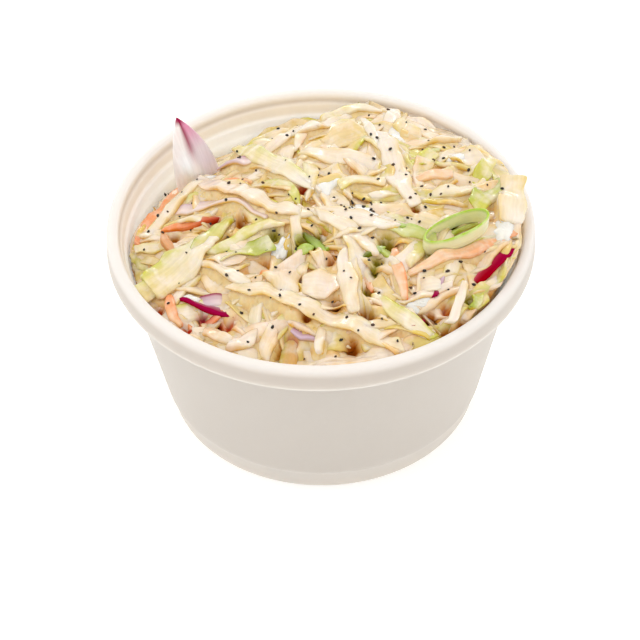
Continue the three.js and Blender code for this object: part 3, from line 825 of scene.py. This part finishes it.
SECTION_POINTS = 14
CAP_STEPS = 3
END_BULGE = 0.45  # how far an end rounds out, as a share of the half width or the thickness
RUFFLE_LENGTH = 1.3
SOFT_SQUARE = 0.6  # power that squares the sections of the petal and the hoop
GRAIN_APART = 17.3
DRESSING_AND_HIGHLIGHT = np.array([0.92, 0.80, 0.69])  # dressing on an upper face, whitened further as a painted highlight, in linear red, green and blue
GREEN_COATED = 0.25  # share of it that stays on a green piece
UNDERSIDE_PAINTED_SHADE = np.array([0.0, 0.25, 0.97])  # painted shade: how much red, green and blue the underside loses
DEPTH_PAINTED_SHADE = np.array([0.0, 0.28, 0.98])  # the same for a piece deep in the dressing: painted shade, and partly its soaked colour


def squared(values, power):
    """Values from -1 to 1 raised to a power with their signs kept: a low power squares a sine."""
    return np.sign(values) * np.abs(values) ** power


def unit(rows):
    """Vectors brought to a length of 1."""
    return rows / np.linalg.norm(rows, axis=-1, keepdims=True)


def pairs(first, second):
    """Rows of two numbers from two arrays that spread over one grid."""
    return np.stack(np.broadcast_arrays(first, second), axis=-1).reshape(-1, 2)


def ribbon(path, colours, coated):
    """Points and faces, colours and grain coordinates of one shred. Its section is a superellipse: the
    cosine and sine of the angle round it, each raised to one power, so a low power is squarer, and thicker
    on the side it leans to. Its upper face is dished by the square of the way across and whitened with a
    share of dressing that is also a painted highlight, its underside is darkened with painted shade, its
    long edges rise and fall as a sine, and the last stations slide along the slant and shrink along a
    quarter circle to close the ends."""
    kind, lean = path["kind"], path["lean"]
    centre, side, up = path["centre"], path["side"], path["up"]
    half, thick, along = path["half"], path["thick"], path["along"]
    count = len(centre)
    forward = unit(np.gradient(centre, axis=0))
    quarter = np.linspace(0, np.pi / 2, CAP_STEPS + 2)[1:-1]
    bulge = np.minimum(half[[0, -1]], thick[[0, -1]]) * END_BULGE
    pick = np.concatenate([np.zeros(CAP_STEPS, int), np.arange(count), np.full(CAP_STEPS, count - 1)])
    shift = np.concatenate([-np.cos(quarter) * bulge[0], np.zeros(count), np.cos(quarter[::-1]) * bulge[1]])
    shrink = np.concatenate([np.sin(quarter), np.ones(count), np.sin(quarter[::-1])])
    angle = full_turn(SECTION_POINTS)
    power = 1 - 0.7 * kind["square"]
    v, w = squared(np.cos(angle), power), squared(np.sin(angle), power)
    dished = w * (1 + lean * v) + kind["dish"] * (v**2 - 0.5)
    ruffle = kind["ruffle"] * np.sin(along / RUFFLE_LENGTH + 9 * lean)
    from_ends = np.stack([along, along[-1] - along]) / (2.2 * half[[0, -1]][:, None])
    slide = (path["slants"][:, None] * np.clip(1 - from_ends, 0, 1)).sum(axis=0) * half
    rings = (
        (centre[pick] + forward[pick] * shift[:, None])[:, None]
        + forward[pick][:, None] * (v * slide[pick][:, None])[..., None]
        + up[pick][:, None] * (v**2 * np.sign(v) * ruffle[pick][:, None])[..., None]
        + side[pick][:, None] * (v * (half[pick] * (0.55 + 0.45 * shrink))[:, None])[..., None]
        + up[pick][:, None] * (dished * (thick[pick] / 2 * shrink)[:, None])[..., None]
    )
    tips = centre[[0, -1]] + forward[[0, -1]] * np.array([[-1], [1]]) * bulge[:, None]
    share = np.clip((along[pick] + shift) / along[-1], 0, 1)
    mixed = colours[0] + (colours[1] - colours[0]) * (share**2 * (3 - 2 * share))[:, None]
    rim = np.clip((v - 0.2) / 0.7, 0, 1)[None, :, None]
    tint = mixed[:, None] + (colours[2] - mixed[:, None]) * rim
    # The upper face whitens: the dressing on it and a painted highlight.
    tint += (DRESSING_AND_HIGHLIGHT - tint) * coated * np.clip(2 * w - 1, 0, 1)[None, :, None]
    # The underside darkens with painted shade.
    tint = (tint * (1 - np.clip(0.2 - w, 0, 1)[None, :, None] * UNDERSIDE_PAINTED_SHADE)).reshape(-1, 3)
    grain = pairs((along[pick] + shift)[:, None], v * half[pick][:, None])
    ends = [[along[0] - bulge[0], 0], [along[-1] + bulge[1], 0]]
    return tube(rings, tips), np.concatenate([tint, mixed[[0, -1]]]), np.concatenate([grain, ends])


def joined(surfaces):
    """The points and faces of many surfaces as those of one."""
    starts = np.cumsum([0] + [len(points) for points, _ in surfaces])
    kinds = zip(*(faces for _, faces in surfaces))
    faces = [np.concatenate([rows + start for rows, start in zip(kind, starts)]) for kind in kinds]
    return np.concatenate([points for points, _ in surfaces]), faces


def bundle(name, rows, palette, coated):
    """One mesh of many shreds. Each row is (path, first colour, second colour, edge colour, depth), and
    each shred's grain coordinates are moved apart so that no two have the same pattern. The depth darkens
    a shred with painted shade and sinks it into the gaps."""
    draw = np.random.default_rng(len(rows))
    surfaces, tints, grains = [], [], []
    for number, (path, *names, deep) in enumerate(rows):
        # Painted shade, deeper the lower a piece lies.
        colours = [rgb(palette[name]) * (1 - deep * DEPTH_PAINTED_SHADE) for name in names]
        share = coated * draw.uniform(0.4, 1.6) * (GREEN_COATED if {"leaf", "lime"} & set(names) else 1)
        (points, faces), tint, grain = ribbon(path, colours, share)
        if deep:
            points, tint = sink_into_gaps(points, tint)
        surfaces.append((points, faces))
        tints.append(tint)
        grains.append(grain + [0, GRAIN_APART * number])
    return make_mesh(name, *joined(surfaces), np.concatenate(tints), np.concatenate(grains))


def wet_material(name, coat, coating, patch_size, vein, gloss, scatter, radius):
    """A dressed vegetable: its own tint under patches of dressing of that colour, strength and size, with
    fine veins along its length, a wet skin, and light that spreads under the surface. A dark tint takes
    less dressing and less shine."""
    material, tree, place = new_material(name)
    tint = add(tree, "Attribute", attribute_name="tint")
    grain = add(tree, "UVMap", uv_map="grain")
    stretched = add(tree, "Mapping", {"Vector": grain, "Scale": (0.1, 1.2, 1.0)})
    fibres = add(tree, "TexNoise", {"Vector": stretched, "Scale": 1.0, "Detail": 3.0})
    patches = add(tree, "TexNoise", {"Vector": place, "Scale": 1 / (patch_size * MM), "Detail": 3.0})
    value = add(tree, "RGBToBW", {"Color": tint})
    wetted = times(tree, ramp(tree, patches, 0.42, 0.66), ramp(tree, value, 0.25, 0.55))
    coated = mix(tree, times(tree, wetted, coating), tint, linear(coat))
    streak = ramp(tree, fibres, 0.35, 0.7, 1 - vein)
    ripple = add(tree, "TexNoise", {"Vector": place, "Scale": 700.0, "Detail": 2.0})
    height = add(tree, "Math", {0: ripple, 1: 0.5, 2: fibres}, operation="MULTIPLY_ADD")
    surface(
        tree,
        Base_Color=mix(tree, 1.0, coated, streak, "MULTIPLY"),
        Roughness=gloss,
        IOR=1.4,
        Subsurface_Weight=scatter,
        Subsurface_Radius=radius,
        Subsurface_Scale=0.0016,
        Specular_IOR_Level=ramp(tree, value, 0.1, 0.42, 0.0, 0.45),
        Coat_Weight=ramp(tree, value, 0.1, 0.42, 0.0, 0.7),
        Coat_Roughness=0.12,
        Normal=relief(tree, height, 0.45, 0.0004),
    )
    return material


def serve(piece, material):
    """Gives a piece of the slaw its material and its place in the frame."""
    piece.data.materials.append(material)
    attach(piece, "root")
    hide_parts("coleslaw")


WARM_SCATTER = (1.0, 0.7, 0.35)  # how far red, green and blue light spreads, against each other
cabbage_material = wet_material("white_cabbage_dressed", "FFF0E2", 0.62, 4.0, 0.1, 0.24, 0.2, WARM_SCATTER)
serve(bundle("cabbage_ribbons", laid["cabbage"], CABBAGE, 0.48), cabbage_material)
serve(bundle("cabbage_scraps", laid["under"], CABBAGE, 0.48), cabbage_material)

# ---- Carrot ----------------------------------------------
# Matchsticks of raw carrot, square at the sides and drawn out to points. Where the dressing covers them
# they are pale salmon, and where they are bare they are orange.

CARROT = {
    "orange": "FA8A22",
    "peach": "FCC890",
    "coral": "FBB26E",
    "amber": "D88600",
    "red": "BE2E04",
    "pink": "FCD0A0",
}
carrot_material = wet_material("raw_carrot_dressed", "FFE0C6", 0.6, 2.2, 0.14, 0.34, 0.3, (1.0, 0.5, 0.25))
serve(bundle("carrot_matchsticks", laid["carrot"], CARROT, 0.12), carrot_material)

# ---- Red onion -------------------------------------------
# Slices across a red onion: a thin purple skin on one edge and a pale lilac body. One curved petal stands
# against the wall at the back left, its tip pointing up.

ONION = {"magenta": "A20A44", "crimson": "A00012", "rose": "C84A66", "lilac": "D4B4C4", "veil": "F3DCD2"}
onion_material = wet_material("red_onion_sliced", "F4E0E2", 0.12, 1.6, 0.12, 0.28, 0.08, (1.0, 0.5, 0.5))
serve(bundle("red_onion_slices", laid["onion"], ONION, 0.0), onion_material)

PETAL_FOOT = (-32.0, 21.0, 47.0)
PETAL_WAIST = (-34.0, 24.0, 59.0)
PETAL_TIP = (-38.0, 27.0, 72.0)
PETAL_WIDTH = 12.5
PETAL_LENGTH = 26.0
PETAL_THICKNESS = 1.5
PETAL_ROWS = 40
PETAL_SIDES = 32
PETAL_FOLD = 3.0
PETAL_SMEAR = 2.0  # how thick the dressing lies on its left side
PETAL_ACROSS = (0.93, 0.32, 0.1)
PETAL_PALE = "FFF6F2"
PETAL_PINK = "E58FB0"
# Painted shade on the petal's right face.
PETAL_SHADE_LILAC = "EADDE4"
PETAL_RIDGE = "A00C46"
PETAL_DRESSED = "FFFFFF"


def petal():
    """A folded blade: a path up through three points, and across it a roof whose ridge stands forward in
    the middle. Its half width follows a sine from the foot to the tip, and a second sheet behind closes it.
    The dressing on its left side is the product of two bell curves, up it and across it."""
    t = np.linspace(0, 1, PETAL_ROWS)[:, None]
    foot, waist, tip = (np.array(p) for p in (PETAL_FOOT, PETAL_WAIST, PETAL_TIP))
    pull = 2 * waist - (foot + tip) / 2
    spine = (1 - t) ** 2 * foot + 2 * t * (1 - t) * pull + t**2 * tip
    across = unit(np.array(PETAL_ACROSS))
    front = unit(np.cross(across, unit(np.gradient(spine, axis=0))))
    half = PETAL_WIDTH / 2 * np.maximum(0.03, np.sin(np.pi * (0.28 + 0.72 * t[:, 0])) ** 0.75)
    angle = full_turn(PETAL_SIDES)
    s, sheet = squared(np.cos(angle), SOFT_SQUARE), -squared(np.sin(angle), SOFT_SQUARE)
    ridge = 1 - np.sqrt(s**2 + 0.02)
    smear = np.exp(-(((t - 0.5) / 0.13) ** 2) - (((s + 0.42) / 0.34) ** 2))
    depth = PETAL_FOLD * ridge * (half * 2 / PETAL_WIDTH)[:, None] + (sheet - 1) * PETAL_THICKNESS / 2
    depth += PETAL_SMEAR * smear * (sheet > 0)
    rings = spine[:, None] + across * (s * half[:, None])[..., None] + front[:, None] * depth[..., None]
    codes = (PETAL_PALE, PETAL_PINK, PETAL_SHADE_LILAC, PETAL_RIDGE, PETAL_DRESSED)
    pale, pink, lilac, purple, dressed = map(rgb, codes)
    high = t[:, :, None]
    right = np.clip(4 * s, 0, 1)[None, :, None]
    # Painted shade: the right face lilac, turning pink towards the tip.
    right_face_shade = lilac + (pink - lilac) * np.clip(4 * high - 2.6, 0, 1)
    body = pale + (right_face_shade - pale) * right
    line = np.exp(-(((s - 0.04) / (0.045 + 0.13 * t)) ** 2))[:, :, None] * np.clip(4 * high - 1.7, 0, 1)
    body += (purple - body) * np.clip(line + np.clip((high - 0.93) / 0.05, 0, 1), 0, 1)
    tint = body + (dressed - body) * np.sqrt(smear)[:, :, None]
    tint = np.concatenate([tint.reshape(-1, 3), tint[0, :1], tint[-1, :1]])
    grain = np.concatenate([pairs(t * PETAL_LENGTH, s * half[:, None]), [[0, 0], [PETAL_LENGTH, 0]]])
    return make_mesh("red_onion_petal", *tube(rings, spine[[0, -1]], flip=True), tint, grain)


serve(petal(), onion_material)

# ---- Spring onion ----------------------------------------
# A slice of the green leaf, cut on the slant: a squeezed hoop on its edge, bright green at the cut and
# paler below, where the leaf turns white.

SPRING = {"bright": "A0C00A", "dark": "606600", "sap": "C2C642", "pale": "E6E2A2"}
RING_AT = (35.2, -13.8)
RING_HEADING = 28.0
RING_LONG = 9.8
RING_SHORT = 4.2
RING_HEIGHT = 5.2
RING_WALL = 1.0
RING_TILT = 6.0
RING_SLOPE = 0.08  # how far its base rises along its heading, as a share
RING_SUNK = 0.5
RING_STEPS = 96
RING_SECTION = 16
RING_GREEN = "AACA1E"
RING_PALE = "ECEABC"
RING_INSIDE = "F2F4C4"


def hoop():
    """An ellipse seen from above, carried up by its height and leaning back, with a rounded square
    section."""
    angle, turn = full_turn(RING_STEPS), full_turn(RING_SECTION)
    outer = np.column_stack([RING_LONG * np.cos(angle), RING_SHORT * np.sin(angle)])
    a = squared(np.cos(turn), SOFT_SQUARE) / 2 + 0.5
    h = (squared(np.sin(turn), SOFT_SQUARE) / 2 + 0.5) * RING_HEIGHT
    flat = outer[:, None] - unit(outer)[:, None] * (a * RING_WALL)[None, :, None]
    x, y = flat[..., 0], flat[..., 1] - h * math.tan(math.radians(RING_TILT))
    c, s = math.cos(math.radians(RING_HEADING)), math.sin(math.radians(RING_HEADING))
    z = level[cell_of(*RING_AT)] - RING_SUNK + h + RING_SLOPE * x
    rings = np.stack([RING_AT[0] + c * x - s * y, RING_AT[1] + s * x + c * y, z], axis=-1)
    green, pale, inner = map(rgb, (RING_GREEN, RING_PALE, RING_INSIDE))
    side = pale + (inner - pale) * a[:, None]
    edge = np.clip((np.abs(h / RING_HEIGHT - 0.45) - 0.38) / 0.12, 0, 1)[:, None]
    tint = np.broadcast_to(side + (green - side) * edge, rings.shape).reshape(-1, 3)
    grain = pairs((angle * RING_LONG)[:, None], h)
    return make_mesh("spring_onion_hoop", *tube(rings), tint, grain)


spring_material = wet_material("spring_onion_sliced", "EEF3C8", 0.35, 2.5, 0.1, 0.28, 0.3, (1.0, 0.95, 0.35))
serve(hoop(), spring_material)
serve(bundle("spring_onion_bits", laid["spring"], SPRING, 0.1), spring_material)

# ---- Dressed core ----------------------------------------
# Under the shreds that show, the slaw is imported solid, and the mayonnaise dressing settles between them in
# # warm pools that climb their edges, darkened to ochre and brown with painted shade where they lie deep. It
# # fills the cup down to its floor.

CORE_RINGS = 110
CORE_SPOKES = 480
CORE_GAP = 0.6  # clearance from the cup
CORE_TAPER = 3.0  # how much narrower it is at the floor than at the foot of the wall
CORE_SPREAD = 4.0  # over which the surroundings of a place are blurred
CORE_READ = 50.0  # how far out the level at the wall is read
CORE_GRAIN = (5.0, 0.4)  # evens out the stretch of the fibre pattern
POOL_LIGHT = "F2D28E"
# Painted shade in the pools, where they lie deep.
POOL_SHADE_OCHRE = "DE9626"
POOL_SHADE_DEEP = "7A3606"


def core():
    """A closed solid: its top is the blurred level of the shreds less a drop that eases off towards the
    back, and its side follows the wall to the floor. The deeper a place lies under its surroundings, the
    darker its painted shade."""
    angle = full_turn(CORE_SPOKES)
    rim_level = film_level[cell_of(CORE_READ * np.cos(angle), CORE_READ * np.sin(angle))]
    edge = inside_at(np.minimum(rim_level, CUP_HEIGHT - LEDGES[0])) - CORE_GAP
    share = (np.arange(CORE_RINGS, 0, -1) / CORE_RINGS)[:, None]
    foot = inside_at(wall_foot_height) - CORE_GAP
    radius = np.concatenate([np.outer([foot - CORE_TAPER, foot], np.ones(CORE_SPOKES)), share * edge])
    x, y = radius * np.cos(angle), radius * np.sin(angle)
    cells = cell_of(x[2:], y[2:])
    low = np.outer([FLOOR + CORE_GAP, wall_foot_height], np.ones(CORE_SPOKES))
    z = np.concatenate([low, film_level[cells]])
    tips = [[0, 0, FLOOR + CORE_GAP], [0, 0, film_level[cell_of(0, 0)]]]
    points, faces = tube(np.stack([x, y, z], axis=-1), tips)
    depth = np.concatenate([np.ones(low.size), (settled(CORE_SPREAD) - film_level)[cells].ravel(), [1, 1]])
    shade = richness_at(np.concatenate([np.zeros(low.size), y[2:].ravel(), [0, 0]]))
    light, ochre_shade, deep = map(rgb, (POOL_LIGHT, POOL_SHADE_OCHRE, POOL_SHADE_DEEP))
    # Painted shade: ochre, then brown, the deeper a place lies.
    tint = light + (ochre_shade - light) * (shade * np.clip((depth - 0.7) / 1.6, 0, 1))[:, None]
    tint = tint + (deep - tint) * (shade * np.clip((depth - 2.2) / 2.0, 0, 1))[:, None]
    upper = slice(low.size, -2)
    points[upper], tint[upper] = sink_into_gaps(points[upper], tint[upper])
    return make_mesh("dressed_core", points, faces, tint, points[:, :2] * CORE_GRAIN)


core_material = wet_material("mayonnaise_dressing", "FBEBC4", 0.45, 2.5, 0.08, 0.26, 0.3, WARM_SCATTER)
serve(core(), core_material)

# ---- Dressing that shows ---------------------------------
# Thick white mayonnaise where it lies in smears over the shreds and against the petal: thin caps that
# follow what they cover, domed in the middle and feathered at an uneven edge.

DOLLOPS = read_rows("""
2.5 5 4.5 2.6 50 0.7
11 -5.5 5.0 3.0 -20 0.7
48.6 -9 3.4 3.8 -20 0.9
46.2 -20.4 2.6 0.5 56 0.5
-10.5 -16 3.6 1.8 60 0.6
-34 -27 2.4 1.2 -20 0.6
21 31 2.4 4.5 10 0.6
37 19.5 3.0 2.0 30 0.6
-31 20.5 2.6 2.0 10 0.8
25 -34.6 3.0 1.7 25 0.5
""")
DOLLOP_RINGS = 12
DOLLOP_SPOKES = 48
DOLLOP_UNDER = 1.4
DOLLOP_SUNK = 0.35
DOLLOP_SPREAD = 1.3
DOLLOP_WAVER = 0.16
MAYONNAISE = "F6F2E8"


def dollops():
    """Each is (x, y, half length, half width, heading, lift): its radius wavers with a few sines, and its
    top is the blurred level plus the lift times one less the fourth power of the way out."""
    draw = np.random.default_rng(5)
    near = blurred(np.where(on_rim, CUP_HEIGHT - 4, level), DOLLOP_SPREAD)
    angle = full_turn(DOLLOP_SPOKES)
    share = (np.arange(1, DOLLOP_RINGS + 1) / DOLLOP_RINGS)[:, None]
    surfaces = []
    for x, y, long, short, heading, lift in DOLLOPS:
        waver = 1 + sum(
            draw.uniform(-DOLLOP_WAVER, DOLLOP_WAVER) * np.cos(k * angle + draw.uniform(0, 6.3))
            for k in (2, 3, 5, 7)
        )
        c, s = math.cos(math.radians(heading)), math.sin(math.radians(heading))
        u, v = long * waver * np.cos(angle) * share, short * waver * np.sin(angle) * share
        px, py = x + c * u - s * v, y + s * u + c * v
        base, middle = near[cell_of(px, py)], near[cell_of(x, y)]
        top = np.stack([px, py, base + lift * (1 - share**4) - DOLLOP_SUNK], axis=-1)
        low = np.stack([px, py, base - DOLLOP_UNDER], axis=-1)
        tips = [[x, y, middle + lift - DOLLOP_SUNK], [x, y, middle - DOLLOP_UNDER]]
        surfaces.append(tube(np.concatenate([top, low[::-1]]), tips, flip=True))
    points, faces = joined(surfaces)
    tint = np.broadcast_to(rgb(MAYONNAISE), points.shape)
    return make_mesh("mayonnaise_smears", points, faces, tint, points[:, :2] * CORE_GRAIN)


smear_material = wet_material("mayonnaise_white", "FBF8F2", 0.5, 2.0, 0.02, 0.22, 0.4, (1.0, 0.9, 0.7))
serve(dollops(), smear_material)

# ---- Pepper ----------------------------------------------
# Coarse black pepper over everything: dark angular grains, a little longer than wide, half sunk in the
# dressing.

GRAINS = 190
GRAINS_REACH = 49.0
GRAINS_STRAY = 2.2
CLUSTER = 7  # one grain in this many lies in the cluster
CLUSTER_AT = (11, -5)
CLUSTER_STRAY = (4.0, 2.6)
GRAIN_LENGTH = 1.05
GRAIN_WIDTH = 0.62  # its width and height as shares of its length
GRAIN_HEIGHT = 0.6
GRAIN_ROUGH = 0.14
GRAIN_LIFT = 0.08
GRAIN_SIDES = 12
GRAIN_ROWS = 7
PEPPER_BLACK = "1E1815"
PEPPER_BROWN = "5A3A24"


def pepper():
    """Each grain is a ball of a few sides and rows, squeezed, roughened by its own draw and turned about
    the upright, and set on the highest thing under it."""
    draw = np.random.default_rng(23)
    number = np.arange(GRAINS)
    radius = GRAINS_REACH * np.sqrt((number + 0.5) / GRAINS)
    x = radius * np.cos(number * GOLDEN) + draw.normal(0, GRAINS_STRAY, GRAINS)
    y = radius * np.sin(number * GOLDEN) + draw.normal(0, GRAINS_STRAY, GRAINS)
    inward = np.minimum(1, GRAINS_REACH / np.hypot(x, y))
    x, y = x * inward, y * inward
    clustered = number % CLUSTER == 3
    x = np.where(clustered, CLUSTER_AT[0] + draw.normal(0, CLUSTER_STRAY[0], GRAINS), x)
    y = np.where(clustered, CLUSTER_AT[1] + draw.normal(0, CLUSTER_STRAY[1], GRAINS), y)
    z = level[cell_of(x, y)] + GRAIN_LIFT
    size = GRAIN_LENGTH / 2 * draw.uniform(0.6, 1.15, GRAINS)
    turn = draw.uniform(0, np.pi, GRAINS)
    around = full_turn(GRAIN_SIDES)
    rise = np.linspace(-np.pi / 2, np.pi / 2, GRAIN_ROWS + 2)[1:-1, None]
    long, wide = np.cos(rise) * np.cos(around), GRAIN_WIDTH * np.cos(rise) * np.sin(around)
    rings = np.stack([long, wide, GRAIN_HEIGHT * np.sin(rise) + 0 * around], axis=-1)
    ball, faces = tube(rings, [[0, 0, -GRAIN_HEIGHT], [0, 0, GRAIN_HEIGHT]])
    rough = 1 + GRAIN_ROUGH * draw.normal(0, 1, (GRAINS, len(ball), 1))
    u, v, w = np.moveaxis(ball[None] * rough * size[:, None, None], -1, 0)
    c, s = np.cos(turn)[:, None], np.sin(turn)[:, None]
    grains = np.stack([c * u - s * v, s * u + c * v, w], axis=-1) + np.column_stack([x, y, z])[:, None]
    black, brown = map(rgb, (PEPPER_BLACK, PEPPER_BROWN))
    tint = black + (brown - black) * (draw.random(GRAINS) ** 3)[:, None]
    points, faces = joined([(grain, faces) for grain in grains])
    return make_mesh("pepper_grains", points, faces, np.repeat(tint, len(ball), axis=0))


def pepper_material():
    """Cracked black pepper: dark, rough and dry-looking even where it is wet."""
    material, tree, place = new_material("black_pepper_cracked")
    tint = add(tree, "Attribute", attribute_name="tint")
    crumbs = add(tree, "TexNoise", {"Vector": place, "Scale": 3000.0, "Detail": 2.0})
    surface(tree, Base_Color=tint, Roughness=0.55, Normal=relief(tree, crumbs, 0.5, 0.0002))
    return material


serve(pepper(), pepper_material())

# ---- Floor and light -------------------------------------
# A plain near-white floor, a large soft light up to the left, a weaker one to the right, a small one behind
# that puts a shine on the wet shreds, and a pale sky that fills the shadows.

FLOOR_WHITE = "FAFAF9"
FLOOR_HALF = 3000.0


def floor_material():
    """Matte white paper on a lit table, which lifts the shadows on it."""
    material, tree, place = new_material("white_paper_backdrop")
    tooth = add(tree, "TexNoise", {"Vector": place, "Scale": 400.0})
    surface(
        tree,
        Base_Color=linear(FLOOR_WHITE),
        Roughness=0.9,
        Emission_Color=linear("FFFFFF"),
        Emission_Strength=0.25,
        Normal=relief(tree, tooth, 0.02, 0.0002),
    )
    return material


floor_corners = np.array([[-1, -1, 0], [1, -1, 0], [1, 1, 0], [-1, 1, 0]]) * FLOOR_HALF
floor = make_mesh("floor", floor_corners, [np.array([[0, 1, 2, 3]])])
floor.data.materials.append(floor_material())


def softbox(name, place, size, power, colour):
    """A square area light that faces the heap."""
    light = bpy.data.lights.new(name, "AREA")
    light.size = size
    light.energy = power
    light.color = linear(colour)[:3]
    lamp = bpy.data.objects.new(name, light)
    lamp.location = place
    lamp.rotation_euler = (Vector((0, 0, 0.05)) - Vector(place)).to_track_quat("-Z", "Y").to_euler()
    bpy.context.collection.objects.link(lamp)


softbox("key_light", (-0.7, -0.15, 1.35), 1.0, 4.0, "FFFDFA")
softbox("fill_light", (0.9, 0.1, 1.0), 1.2, 2.0, "FFFDFA")
softbox("back_light", (0.1, 0.9, 0.8), 0.25, 1.5, "FFFDFA")

world = bpy.data.worlds.new("pale_studio")
world.use_nodes = True
sky = world.node_tree.nodes["Background"].inputs
sky["Color"].default_value = linear("FFFFFF")
sky["Strength"].default_value = 0.92
bpy.context.scene.world = world
bpy.context.scene.view_settings.view_transform = "Standard"
